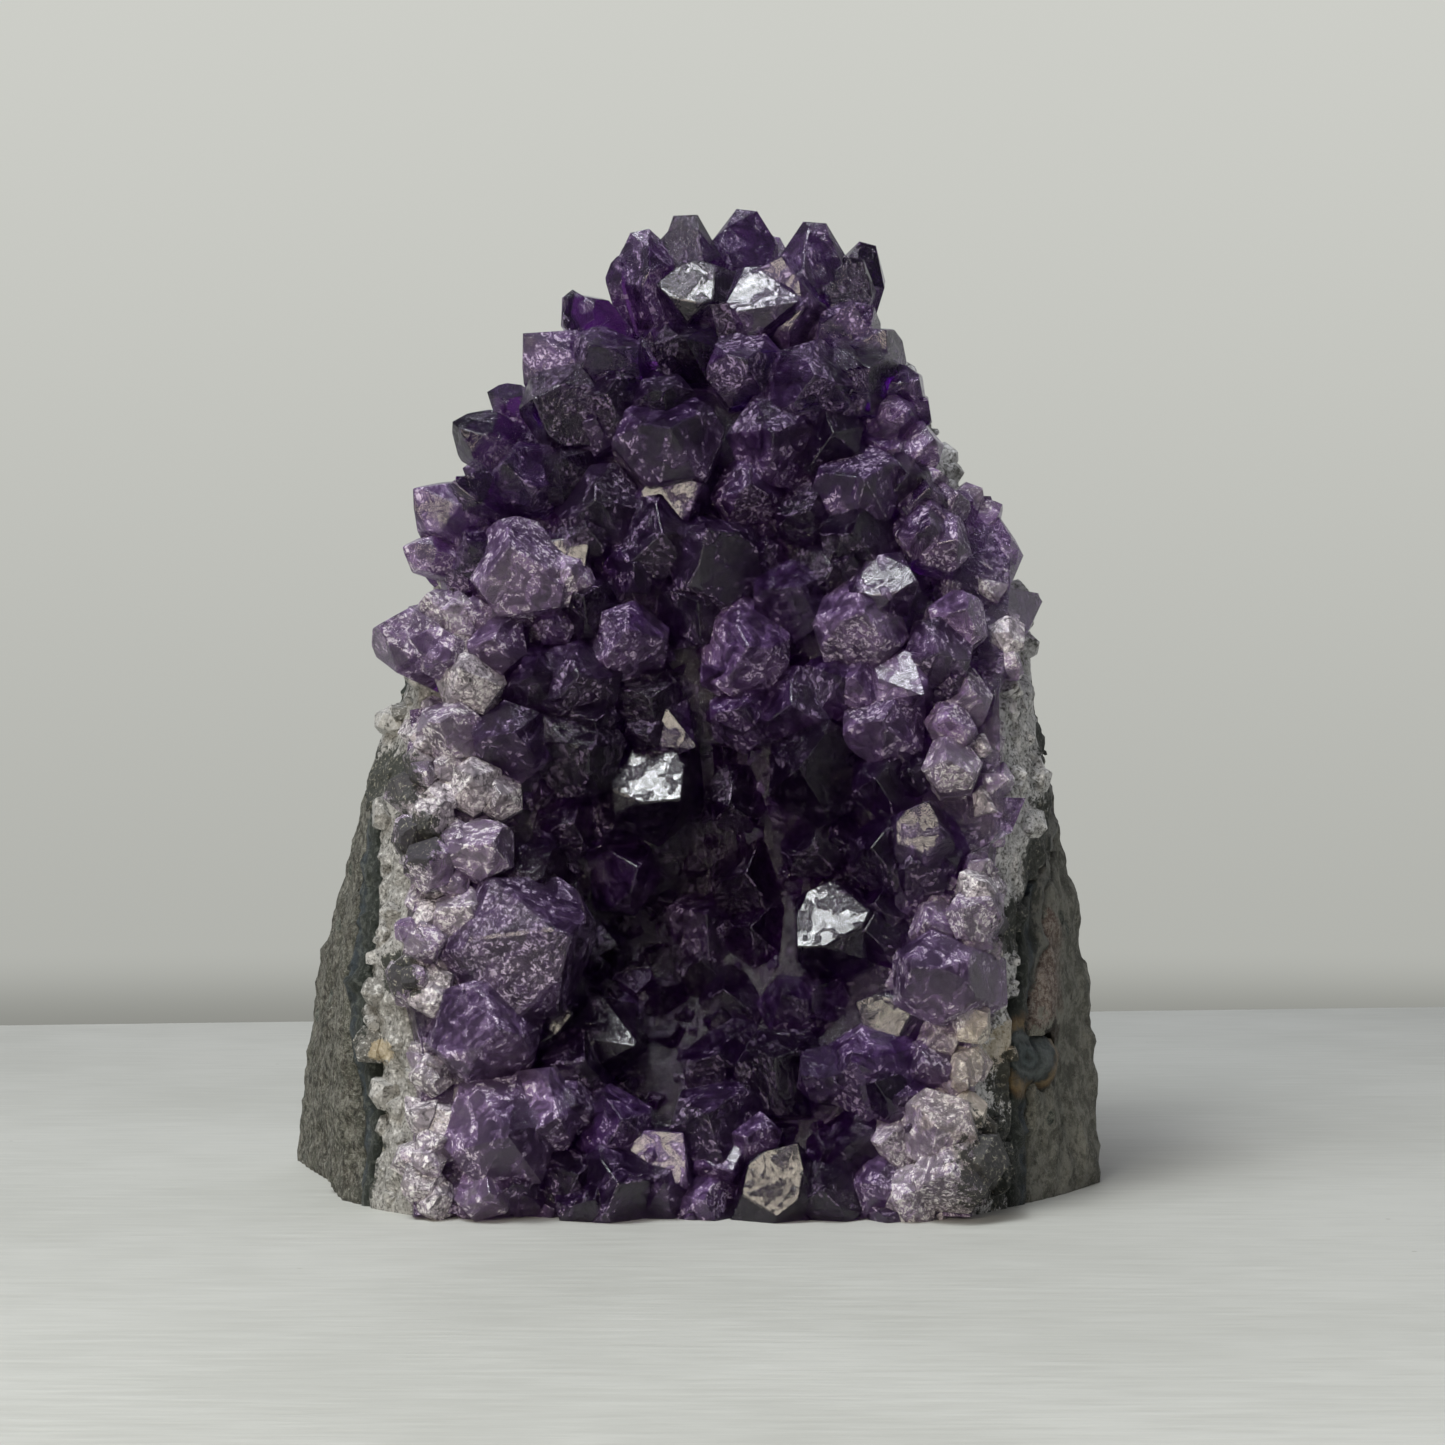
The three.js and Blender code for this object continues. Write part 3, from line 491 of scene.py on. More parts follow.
quartz = layer_of("quartz_layer", "quartz_grains", 0.8 * MM)
break_up(quartz, ("VORONOI", 2.4, 1.2), ("CLOUDS", 1.4, 0.7))
to_millimetres(quartz.data)
note(quartz.data, "own", 0.5)
sprinkle = make_dice(5)
grain_models = [cut_grain(sprinkle) for _ in range(4)]
grains = bpy.data.collections.new("grains")
bpy.context.scene.collection.children.link(grains)
plain = frame["nodes"]["quartz_layer"].data.copy()
to_millimetres(plain)
for spot in scattered(plain, GRAIN_THROWS, sprinkle):
    size = GRAIN_SIZES[0] + (GRAIN_SIZES[1] - GRAIN_SIZES[0]) * sprinkle() ** 2
    turn = any_turn(sprinkle)
    model = grain_models[int(len(grain_models) * sprinkle())]
    own = sprinkle()
    behind = spot.y - floor_at(spot.x, spot.z)
    if spot.z < 1 + size or not GRAIN_DEPTHS[0] < behind < GRAIN_DEPTHS[1]:
        continue
    copy = model.data.copy()
    copy.transform(Matrix.Translation(spot) @ turn @ Matrix.Scale(size, 4))
    note(copy, "own", own)
    grains.objects.link(bpy.data.objects.new("grain", copy))
fuse(quartz, grains)
for spare in grain_models:
    bpy.data.objects.remove(spare)
to_metres(quartz.data)
measure_in(quartz)
dress(quartz, quartz_look())
smooth(quartz, 25)
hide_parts("quartz_layer")
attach(quartz, "root")

# Amethyst: a druse of clear to deep purple quartz crystals on a crust of their own roots. Each is a
# six-sided prism under a six-faced pyramid, and they grew into each other until they were one solid.

# Each row: x and z of the tip as seen from the eye, width across the corners, height of the tip above
# the floor, and how far the crystal leans to the right and upwards.
CRYSTALS = [
    # crown, pointing up
    (-1.4, 118.2, 10, 13, -0.05, 0.2), (-7, 115.8, 8, 12, -0.3, 0.2), (6.3, 118, 8.5, 11, 0.15, 0.4),
    (15, 117.4, 9.5, 13, 0.1, 0.3), (21, 115.2, 7, 10, 0.35, 0.5), (10.5, 113.8, 11, 13, 0, -0.3),
    (19, 113.2, 8, 10, 0.25, 0), (-4.3, 110.2, 9, 12, -0.25, -0.6), (-1.5, 103.8, 9, 11, -0.1, -0.4),
    (12.5, 108.4, 10, 12, 0.1, -0.6), (3.6, 108, 10, 10, 0, -0.5), (20, 107.6, 9, 9, 0.2, -0.3),
    (21.8, 99.6, 9.5, 9, 0.25, -0.1), (26, 95, 8.5, 7, 0.4, 0), (6.5, 101.5, 9, 10, 0.1, -0.2),
    # upper left edge, pointing left
    (-15.7, 109.2, 6.5, 9, -0.5, 0.3), (-20.8, 103.2, 9, 11, -0.5, 0.3), (-12.5, 103, 9, 11, -0.2, 0),
    (-18.4, 96, 10.5, 12, -0.2, -0.2), (-24.6, 97.2, 5.5, 9, -0.4, 0.2), (-29.4, 93.6, 8, 12, -0.5, 0.2),
    (-11, 97.4, 10, 11, 0, 0.1), (-34.4, 85.3, 9.5, 13, -0.4, 0.2), (-35.5, 78.4, 6, 11, -0.5, -0.1),
    (-22.4, 88.6, 8, 10, -0.2, 0.1), (-29, 86.5, 7.5, 11, -0.2, 0.1),
    # upper middle
    (-3.4, 93.4, 12.5, 14, 0, 0.1), (14.6, 98.6, 12, 12, 0.05, 0), (9.6, 91.6, 10.5, 11, 0, -0.1),
    (20.4, 87.4, 10.5, 11, 0.1, 0.1), (26, 87.2, 8.5, 9, 0.2, 0), (28.6, 85.6, 8, 8, 0.3, 0.2),
    (-16.6, 89, 8.5, 10, -0.1, 0.1), (-12.4, 84.4, 10, 11, -0.1, 0),
    (-22.8, 78.4, 12, 14, -0.15, 0.2), (-5.2, 80.2, 10.5, 11, 0, 0), (2.2, 79.4, 11, 13, 0, 0.35),
    (7, 86, 9, 9, 0.1, 0), (14, 83.2, 8.5, 9, 0, 0), (20, 80.2, 10, 11, 0, 0),
    (28.6, 81.4, 8.5, 9, 0.15, 0.1), (31.2, 79.6, 8.5, 8, 0.3, 0), (-28.2, 78.6, 7, 9, -0.2, 0.1),
    # middle
    (-38.4, 68.5, 9.5, 12, -0.6, 0.1), (-30.8, 70.5, 7, 9, -0.3, 0), (-24.7, 67.1, 8.5, 10, -0.1, 0),
    (-19.9, 62.8, 9.5, 10, -0.1, 0), (-13.7, 72.4, 9, 10, 0, 0.1), (-7.9, 67.1, 9.5, 10, 0, 0),
    (-0.6, 71, 9, 9, 0, 0), (6, 66.3, 11, 11, 0, 0), (12.1, 72.4, 9, 10, 0.1, 0),
    (17, 76, 9, 9, 0, 0), (19.9, 69.8, 11.5, 13, 0, 0), (26.7, 74.6, 10.5, 12, 0.1, 0.3),
    (32.8, 70.4, 8.5, 9, 0.2, 0.1), (30.1, 65.9, 10, 11, 0.1, -0.1),
    (-28.8, 63.6, 10, 10, -0.25, 0.1), (-31.1, 56.6, 9.5, 9, -0.3, 0), (-14.3, 62.2, 10, 11, 0, 0),
    (-13.8, 53.3, 11.5, 12, 0, -0.1), (-22.5, 54.6, 9, 10, -0.1, -0.1), (-5.5, 59.9, 7.5, 9, 0, 0),
    (-0.1, 53.9, 8.5, 9, 0, 0), (11.7, 59.1, 9.5, 10, 0, 0), (17.8, 62.2, 9, 10, 0, 0),
    (14.3, 51, 12, 12, 0, 0), (23, 57.7, 10, 11, 0.05, 0), (27.8, 60.4, 9.5, 11, 0.1, 0.1),
    (33.5, 60.6, 8.5, 8, 0.2, 0), (31.4, 52.5, 8, 9, 0.1, 0.1), (5.6, 57.7, 8.5, 9, 0, 0),
    (22.9, 50, 8.5, 9, 0, 0),
    (0.2, 85.9, 9, 9, 0, 0), (15.8, 92.2, 9, 9, 0, 0), (-13, 78.6, 8.5, 8, 0, 0),
    # right edge
    (23.6, 104, 8, 7, 0.2, 0), (27, 98.4, 7.5, 6, 0.1, 0), (28.4, 91.4, 7.5, 5.5, 0.1, 0),
    (32, 85, 7.5, 5.5, 0.1, 0.1), (35, 77, 8, 6, 0, 0), (36.8, 68, 8, 6, 0, 0),
    (37.2, 61.8, 8, 6, 0, 0), (37.2, 56, 8, 6, 0, 0),
    # round the hollow
    (6.6, 32.4, 9, 8, 0, 0.1), (1, 27.6, 9, 8, 0, 0.1), (-13, 15.4, 9, 9, 0.1, 0),
    (-1.9, 48.3, 13.5, 15, 0, 0.35), (-9, 44.7, 8, 8, 0, 0), (-14.9, 44.5, 8.5, 8, 0, 0),
    (-8, 38.6, 9.5, 9, 0, 0.1), (6.1, 38.4, 11, 10, 0.1, 0.1), (13.7, 42, 9, 9, 0, 0),
    (22, 41.1, 9, 10, -0.1, 0), (0.3, 32.4, 10, 9, 0, 0.2), (-9.3, 29.5, 8.5, 8, 0.1, 0),
    (13, 29.7, 11.5, 12, 0, 0.2), (4.4, 24.1, 8, 8, 0, 0.1), (10.9, 23.5, 9, 10, 0, 0.1),
    (-3.7, 23.7, 7, 6, 0, 0), (20.7, 31.4, 9, 8, -0.1, 0), (20.6, 22.2, 7.5, 7, -0.1, 0),
    # left shoulder
    (-25.5, 42.4, 10, 11, 0.05, 0.1), (-27.2, 50, 8.5, 9, -0.1, 0), (-18.1, 37.7, 9, 9, 0.1, 0),
    (-15.4, 29.7, 17, 17, 0.35, -0.05), (-28.2, 33.4, 9, 9, -0.1, 0.1), (-32.3, 25.3, 7.5, 7, -0.1, 0),
    (-23.6, 19.3, 13, 13, 0.1, -0.05), (-32.8, 19.9, 6.5, 7, -0.1, 0), (-30.9, 14.1, 8.5, 8, -0.1, 0),
    (-22.9, 6.4, 13, 14, 0, -0.05), (-31.6, 8.5, 8, 8, -0.1, 0), (-30.9, 0.2, 8, 8, -0.1, -0.1),
    (-18.2, 9.1, 10.5, 11, 0.1, -0.1), (-16.1, 21, 8, 7, 0.2, 0),
    # foot, in the middle
    (-7.4, 17.4, 11, 11, 0, 0), (2.8, 16.6, 9.5, 10, 0, 0), (10.1, 15.2, 11, 12, 0.05, 0),
    (-9.9, 7.9, 9.5, 10, 0, 0), (2.8, 8.1, 11.5, 12, 0, -0.05), (-14.7, 1.9, 7.5, 8, 0, 0),
    (-22.4, 0.2, 7, 8, 0, 0), (-9.5, 0.2, 11, 12, 0, -0.05), (-3.9, 0.6, 8.5, 10, 0.05, 0),
    (-2.6, 5.4, 8, 9, 0, 0.1), (4.7, 2.3, 8.5, 9, 0, 0), (11.9, 4.1, 9, 10, 0, 0.1),
    (11.3, -0.8, 9, 9, 0, -0.05), (18.6, 4.8, 8.5, 9, 0, 0), (22.1, 0, 8, 9, 0, 0),
    (-25.5, -0.6, 8.5, 9, 0, 0), (-13, -1.4, 8, 9, 0, 0), (8.4, -1.6, 8, 9, 0, 0),
    (15.6, -1.6, 8.5, 9, 0, 0), (25.6, -1.4, 8.5, 9, 0, 0), (1.6, -1.8, 7.5, 8, 0, 0),
    # right shoulder
    (35.4, 51.4, 8, 7, 0.15, 0), (35.3, 45.1, 10.5, 10, 0.1, 0.1), (28.5, 47.3, 9.5, 10, 0, 0.1),
    (35.3, 38.6, 10, 9, 0.1, 0), (26.8, 39.9, 9, 9, 0, 0), (28.1, 32.4, 8, 8, -0.1, 0.1),
    (26.5, 26.2, 13, 14, -0.25, 0), (33.1, 29.9, 9.5, 9, 0, 0.1), (19.2, 15.2, 11, 12, -0.15, 0.05),
    (24.4, 10.6, 9, 9, -0.05, 0), (27.9, 15.2, 7.5, 8, 0, 0), (32.3, 12.7, 7, 7, 0.05, 0),
    (29, 6.8, 10.5, 10, 0, -0.05), (31.2, 0.6, 11, 10, 0.05, -0.1), (35.2, 20.6, 8, 7, 0.05, 0),
]
# How far down the six pyramid faces start in each habit, as shares of the crystal's radius.
HABITS = [(0.3, 0, 0.3, 0, 0.3, 0), (0.45, 0.1, 0.3, 0.05, 0.35, 0.15), (0.2, 0.05, 0.5, 0.1, 0.25, 0.1),
          (0.1, 0.1, 0.15, 0.1, 0.1, 0.15), (0.6, 0.05, 0.2, 0.1, 0.25, 0), (0.35, 0.2, 0.4, -0.05, 0.2, 0.1)]
# The angle between a pyramid face and the base of the pyramid.
FACE_TILT = math.radians(51.8)
# The crystals grow fuller than the table's widths, so that they run into each other, but less so at
# the sides. They reach this deep below the floor, and none has its root higher than this.
FULLNESS, SIDE_FULLNESS, SIDE_X = 1.16, 0.84, 24
ROOT_DEPTH, HIGHEST_ROOT = 5, 111.5
# The crystals of the crown, with their tips above this z, and those behind it end in short ridges. The
# shares are half the length of the ridge, by the crystal's radius.
CROWN_Z, CROWN_RIDGE, BACK_RIDGE = 105, 0.26, 0.2
# Where the camera stands.
EYE = Vector((3.3, -520, 75))
# Crystals with a smooth face turned to throw a window back at the eye, by their tips.
COOL_WINDOW, WARM_WINDOW = Vector((-250, -350, 750)), Vector((-330, -760, 200))
COOL_FACES = [(-1.9, 48.3), (-4.3, 110.2), (12.5, 108.4), (13, 29.7), (26.7, 74.6), (27.8, 60.4),
              (-7.4, 17.4), (4.7, 2.3)]
WARM_FACES = [(0.2, 85.9), (-13, 78.6), (-0.1, 53.9), (-16.1, 21), (-2.6, 5.4), (11.9, 4.1), (20.6, 22.2),
              (28.5, 47.3), (10.5, 113.8)]
# Crystals that are twisted on their own axes, by radians.
TURNED = {(-15.4, 29.7): 0.05, (6.3, 118): 0.5, (15, 117.4): 0.5}
# Crystals with a paleness of their own, from 0 for deep purple to 1 for white.
TONES = {
    (-15.4, 29.7): 0.58, (-22.8, 78.4): 0.68, (-23.6, 19.3): 0.58, (-22.9, 6.4): 0.66, (26.5, 26.2): 0.66,
    (19.9, 69.8): 0.56, (-3.4, 93.4): 0.44, (14.6, 98.6): 0.34, (30.1, 65.9): 0.6, (28.6, 81.4): 0.55,
    (32.8, 70.4): 0.62, (-18.2, 9.1): 0.56, (2.8, 8.1): 0.48, (-9.5, 0.2): 0.48, (-14.3, 62.2): 0.42}
# The x and z of the tip and the width of crystals that close gaps between those of the table.
LATE_CRYSTALS = [(4.7, 47.2, 10), (-21.6, 28, 7), (33.5, 33.5, 7), (31, 57, 7)]
chance = make_dice(12)


def cut_crystal(shares, tilts):
    """One crystal of unit radius with its tip at the origin: a prism with its end cut to a pyramid."""
    made = added(bpy.ops.mesh.primitive_cone_add, vertices=6, radius1=0.9, radius2=1, depth=4,
                 location=(0, 0, -1))
    bpy.ops.object.transform_apply(location=True)
    bpy.ops.object.mode_set(mode="EDIT")
    for side, share in enumerate(shares):
        turn, tilt = math.radians(60 * side + tilts[side][0]), FACE_TILT + math.radians(tilts[side][1])
        square = (math.sin(tilt) * math.cos(turn), math.sin(tilt) * math.sin(turn), math.cos(tilt))
        cut_off((0, 0, max(shares) - share), square)
    bpy.ops.mesh.select_all(action="SELECT")
    bpy.ops.mesh.remove_doubles(threshold=1e-4)
    bpy.ops.mesh.bevel(offset=0.025, affect="EDGES", segments=1, clamp_overlap=True)
    bpy.ops.object.mode_set(mode="OBJECT")
    # The flanks are the upright faces, and the corners the narrow ones that the bevel leaves.
    faces = made.data.polygons
    rims = [sum((made.data.vertices[a].co - made.data.vertices[b].co).length for a, b in face.edge_keys)
            for face in faces]
    note(made.data, "flank", [[abs(face.normal.z) < 0.35] for face in faces])
    note(made.data, "corner", [[4 * face.area / rim < 0.1] for face, rim in zip(faces, rims)])
    return made


def axis_at(x, z, lean_x, lean_z):
    """Which way a crystal grows from the floor: square to it, but in the hollow only in part."""
    slope_x, slope_z = slopes_at(x, z)
    dip = math.exp(-((x - HOLLOW_X) / HOLLOW_WIDE) ** 2 - ((z - HOLLOW_Z) / HOLLOW_TALL) ** 2)
    ignored = 1.2 * HOLLOW_DEPTH * dip
    square = Vector((slope_x + ignored * (x - HOLLOW_X) / HOLLOW_WIDE ** 2, -1,
                     slope_z + ignored * (z - HOLLOW_Z) / HOLLOW_TALL ** 2))
    return (square.normalized() + Vector((lean_x, 0, lean_z))).normalized()


def place_by_tip(tip_x, tip_z, reach, lean_x, lean_z):
    """Where a crystal has to grow for its tip to show at x and z from the eye."""
    root = Vector((tip_x, 0, min(tip_z, HIGHEST_ROOT)))
    for _ in range(60):
        root.y = floor_at(root.x, root.z)
        axis = axis_at(root.x, root.z, lean_x, lean_z)
        tip = root + axis * reach
        nearer = (tip.y - EYE.y) / -EYE.y
        root.x += 0.25 * (EYE.x + (tip_x - EYE.x) * nearer - tip.x)
        root.z += 0.25 * (EYE.z + (tip_z - EYE.z) * nearer - tip.z)
        root.z = min(root.z, HIGHEST_ROOT)
    root.y = floor_at(root.x, root.z)
    return root, axis


def turn_of(axis):
    """The turn that takes upright onto the axis."""
    return Vector((0, 0, 1)).rotation_difference(axis).to_matrix().to_4x4()


def faced(model, tip, axis, window):
    """The axis nearest to the given one, and the twist, that turn the widest end face to a window."""
    window = window + Vector((chance() - 0.5, 0, chance() - 0.5)) * 130
    ends = [face for face in model.data.polygons if 0.3 < face.normal.z < 0.95]
    widest = max(ends, key=lambda face: face.area)
    half = ((EYE - tip).normalized() + (window - tip).normalized()).normalized()
    hinge = half.cross(axis).normalized()
    axis = Matrix.Rotation(math.acos(widest.normal.z), 3, hinge) @ half
    aim = turn_of(axis).to_3x3().transposed() @ half
    return axis, math.atan2(aim.y, aim.x) - math.atan2(widest.normal.y, widest.normal.x)


druse = bpy.data.collections.new("druse")
bpy.context.scene.collection.children.link(druse)


def grow(model, root, axis, width, reach, twist, tone, etching=1.0, ridge=0.0):
    """Sets a copy of a crystal on its axis, with its tip at reach above the root.

    The tone is how pale it is, the etching how rough its faces may be, and a ridge blunts its tip.
    """
    copy = model.data.copy()
    radius = width / 2
    turn = turn_of(axis) @ Matrix.Rotation(twist, 4, "Z")
    spots = np.array([vertex.co for vertex in copy.vertices])
    top = spots[:, 2] > spots[:, 2].max() - 0.07
    along = np.array((turn.to_3x3().transposed() @ Vector((1, 0, 0)))[:2])
    spots[top, :2] += ridge * np.sign((spots[top, :2] - spots[top, :2].mean(0)) @ along)[:, None] * along
    spots[spots[:, 2] < -2, 2] = -(reach + ROOT_DEPTH) / radius
    spots *= (radius, radius * (0.86 + 0.24 * chance()), radius)
    copy.vertices.foreach_set("co", spots.ravel())
    corners = np.zeros(len(copy.loops), np.int32)
    copy.loops.foreach_get("vertex_index", corners)
    note(copy, "on_crystal", spots[corners] + [37 * chance(), 37 * chance(), 0], "FLOAT_VECTOR", "CORNER")
    note(copy, "own", chance())
    note(copy, "face_own", [[etching * chance()] for face in copy.polygons])
    note(copy, "tone", tone)
    copy.transform(Matrix.Translation(root + axis * reach) @ turn)
    druse.objects.link(bpy.data.objects.new("crystal", copy))


def eased(value, low, high):
    """Runs from 0 at low to 1 at high, eased at both ends."""
    share = min(1, max(0, (value - low) / (high - low)))
    return share * share * (3 - 2 * share)


def broken_at(x, z):
    """1 along the sides, where the druse broke off into lumps of quartz, and 0 where crystals stand."""
    left = eased(-x, 28.5, 31) * (1 - eased(z, 52, 58))
    right = max(eased(x, 30, 33) * (1 - eased(z, 26, 34)), eased(x, 33, 35) * (1 - eased(z, 78, 84)))
    return max(left, right)


def tone_at(x, z):
    """How pale the amethyst is there: pale beside the quartz at the sides, and deepest in the hollow, where
    the darkness is painted shade.
    """
    left = 0.5 * eased(-x, 14, 31) * (1 - eased(z, 66, 76)) + 0.15 * eased(-x, 20, 34) * eased(z, 44, 56)
    right = (0.4 * eased(x, 22, 36) * (1 - eased(z, 84, 106))
             + 0.35 * eased(x, 18, 28) * (1 - eased(z, 26, 42)))
    foot = 0.1 * (1 - eased(z, 0, 8))
    # Painted shade: the tone drops in the hollow and darkens it, as if shade falls there.
    hollow = math.exp(-((x - 1) / 17) ** 2 - ((z - 32) / 19) ** 2)
    return 0.34 + max(left * (z < 80), right, foot) - 0.36 * hollow


models = []
for shares in HABITS:
    models.append([])
    for _ in range(2):
        tilts = [((chance() - 0.5) * 7, (chance() - 0.5) * 6) for _ in shares]
        models[-1].append(cut_crystal(shares, tilts))


def any_model():
    return models[int(chance() * len(models))][int(chance() * 2)]


def note_places(mesh):
    """Notes where each corner lies, on a shape that has no place on a crystal to note."""
    note(mesh, "on_crystal", [mesh.vertices[loop.vertex_index].co for loop in mesh.loops],
         "FLOAT_VECTOR", "CORNER")


# The crust: the front of the quartz, taken off as a sheet and thickened forwards into the roots.
SHEET_DEPTH, CRUST_THICKNESS = 1.6, 3.2
crust = bpy.data.objects.new("amethyst_druse", frame["nodes"]["quartz_layer"].data.copy())
bpy.context.scene.collection.objects.link(crust)
crust.data.materials.clear()
measure_in(crust)
to_millimetres(crust.data)
choose(crust)
bpy.ops.object.mode_set(mode="EDIT")
bpy.ops.mesh.select_mode(type="FACE")
bpy.ops.mesh.select_all(action="DESELECT")
bpy.ops.object.mode_set(mode="OBJECT")
for face in crust.data.polygons:
    depths = [crust.data.attributes["behind"].data[corner].value for corner in face.vertices]
    face.select = max(depths) > SHEET_DEPTH
bpy.ops.object.mode_set(mode="EDIT")
bpy.ops.mesh.delete(type="FACE")
bpy.ops.mesh.select_all(action="SELECT")
bpy.ops.mesh.remove_doubles(threshold=1e-3)
bpy.ops.mesh.normals_make_consistent(inside=False)
bpy.ops.object.mode_set(mode="OBJECT")
crust.data.attributes.remove(crust.data.attributes["behind"])
ground = crust.data.copy()
work(crust, "SOLIDIFY", thickness=CRUST_THICKNESS, offset=1)
note_places(crust.data)
# Painted shade: the crust that shows between the crystals gets a low own value and a tone below the place's.
# Both darken it for the shade in the crevices.
note(crust.data, "own", 0.2)
note(crust.data, "tone", [[tone_at(face.center.x, face.center.z) - 0.22] for face in crust.data.polygons])
note(crust.data, "face_own", 0.6)
note(crust.data, "flank", 1)
note(crust.data, "corner", 0)

# The crystals of the table, each with side crystals that grew along it or splayed from it.
dice = make_dice(71)
standing = []
for tip_x, tip_z, width, reach, lean_x, lean_z in CRYSTALS:
    habit, twist = int(dice() * len(HABITS)), dice() * 2 * math.pi
    root, axis = place_by_tip(tip_x, tip_z, reach, lean_x, lean_z)
    standing.append((root, width))
    tone = TONES.get((tip_x, tip_z), tone_at(tip_x, tip_z) + 0.26 * (chance() - 0.5))
    twist += TURNED.get((tip_x, tip_z), 0)
    model = models[habit][int(chance() * 2)]
    if broken_at(tip_x, tip_z) > 0.5:
        continue
    window = None
    if (tip_x, tip_z) in COOL_FACES:
        window = COOL_WINDOW
    elif (tip_x, tip_z) in WARM_FACES:
        window = WARM_WINDOW
    etching, ridge = 1, CROWN_RIDGE if tip_z > CROWN_Z else 0
    if window is not None:
        tip = root + axis * reach
        axis, twist = faced(model, tip, axis, window)
        root = tip - axis * reach
        etching, ridge = 0.35, 0
    full_width = FULLNESS * width * (SIDE_FULLNESS if abs(tip_x) > SIDE_X else 1)
    grow(model, root, axis, full_width, reach, twist, tone, etching, ridge)
    for parallel, often in ((True, 0.45), (False, 0.2)):
        aside = axis.orthogonal().normalized()
        aside.rotate(Matrix.Rotation(chance() * 2 * math.pi, 3, axis))
        off = (0.28 + 0.14 * chance()) * width
        splay = 0 if parallel else 0.35 * chance()
        if chance() > often or window is not None:
            continue
        grow(any_model(), root + aside * off, (axis + aside * splay).normalized(),
             width * (0.55 + 0.25 * chance()), reach * (0.72 + 0.2 * chance()),
             twist if parallel else chance() * 6.28, tone + 0.1 * (chance() - 0.5))


def fill_gaps(throws, widths, reaches, lean, apart, tones):
    """Throws small crystals over the crust, and keeps those that stand a little apart from all others.

    Widths and reaches say from where and over how much they range, and tones over how much the
    paleness ranges and which share of that lies below the paleness of the place.
    """
    for root in scattered(ground, throws, chance):
        width = widths[0] + widths[1] * chance()
        if broken_at(root.x, root.z) > 0.4:
            continue
        if any((root - other).length < apart * (wide + width) for other, wide in standing):
            continue
        standing.append((root, width))
        axis = axis_at(root.x, root.z, lean * (chance() - 0.5), lean * (chance() - 0.5))
        grow(any_model(), root, axis, width, reaches[0] + reaches[1] * chance(), chance() * 6.28,
             tone_at(root.x, root.z) + tones[0] * (chance() - tones[1]))


fill_gaps(throws=2600, widths=(4.5, 4), reaches=(2.8, 3), lean=0.7, apart=0.3, tones=(0.2, 0.5))
# The broken sides: lumps of pale quartz, heaped on the crust where no crystal stands, but for the
# upper right, past this x and z, where the broken quartz lies bare.
LUMP_THROWS, LUMPS_APART, BARE_X, BARE_Z = 5000, 1.9, 36.6, 27
lumps = [cut_grain(chance) for _ in range(4)]
heaps = []
for root in scattered(ground, LUMP_THROWS, chance):
    if root.z < 1.5 or broken_at(root.x, root.z) < 0.4 or (root.x > BARE_X and root.z > BARE_Z):
        continue
    if any((root - other).length < LUMPS_APART for other in heaps):
        continue
    heaps.append(root)
    own = chance()
    highest = 3 if root.x > 0 and root.z > 40 else 6
    height, away = highest * (0.5 + 0.5 * chance()), 1.2
    while away < height:
        size = (1.4 if root.x < 0 else 1.1) + 1.7 * chance()
        aside = Vector((chance() - 0.5, 0, chance() - 0.5)) * 1.6
        turn = any_turn(chance)
        spot = root + axis_at(root.x, root.z, 0, 0) * away + aside
        away += size
        copy = lumps[int(chance() * len(lumps))].data.copy()
        copy.transform(Matrix.Translation(spot) @ turn @ Matrix.Scale(size, 4))
        note_places(copy)
        note(copy, "own", own)
        note(copy, "face_own", [[chance()] for face in copy.polygons])
        note(copy, "tone", (0.85 if root.x < 0 or root.z < 40 else 0.72) + 0.3 * chance())
        note(copy, "flank", 0.3)
        note(copy, "corner", 0)
        druse.objects.link(bpy.data.objects.new("lump", copy))
for tip_x, tip_z, width in LATE_CRYSTALS:
    reach = 8.5
    root, axis = place_by_tip(tip_x, tip_z, reach, 0, 0)
    grow(any_model(), root, axis, width, reach, chance() * 6.28, tone_at(tip_x, tip_z))
# A row of crystals behind the crown, pointing up and back.
for x in (-4, 2.4, 8.8, 15.2):
    z, width, reach, tone = 111.8, 8.5, 5, 0.5
    model = any_model()
    axis = Vector((0.6 * (chance() - 0.5), 0.3, 1)).normalized()
    grow(model, Vector((x, floor_at(x, z), z)), axis, width, reach, chance() * 6.28, tone, ridge=BACK_RIDGE)
# The smallest crystals, on the crust that still shows between the others.
fill_gaps(throws=3600, widths=(2.6, 2), reaches=(3.4, 1.4), lean=0.9, apart=0.24, tones=(0.3, 0.4))
fuse(crust, druse)

# All are sawn off level at the base, and end at the back on a sheet a little behind the floor.
saw = added(bpy.ops.mesh.primitive_cube_add, size=160, location=(0, 0, -80))
work(crust, "BOOLEAN", operation="DIFFERENCE", solver="MANIFOLD", object=saw)
sheet = added(bpy.ops.mesh.primitive_grid_add, x_subdivisions=60, y_subdivisions=72, size=1)
for vertex in sheet.data.vertices:
    x, z = vertex.co.x * 120, 60 + vertex.co.y * 150
    vertex.co = (x, floor_at(x, z) + 1.2, z)
bpy.ops.object.mode_set(mode="EDIT")
bpy.ops.mesh.select_all(action="SELECT")
bpy.ops.mesh.extrude_region_move(TRANSFORM_OT_translate={"value": (0, 400, 0)})
bpy.ops.mesh.select_all(action="SELECT")
bpy.ops.mesh.normals_make_consistent(inside=False)
bpy.ops.object.mode_set(mode="OBJECT")
work(crust, "BOOLEAN", operation="DIFFERENCE", solver="MANIFOLD", object=sheet)
for spare in [saw, sheet, *lumps, *[model for pair in models for model in pair]]:
    bpy.data.objects.remove(spare)
to_metres(crust.data)


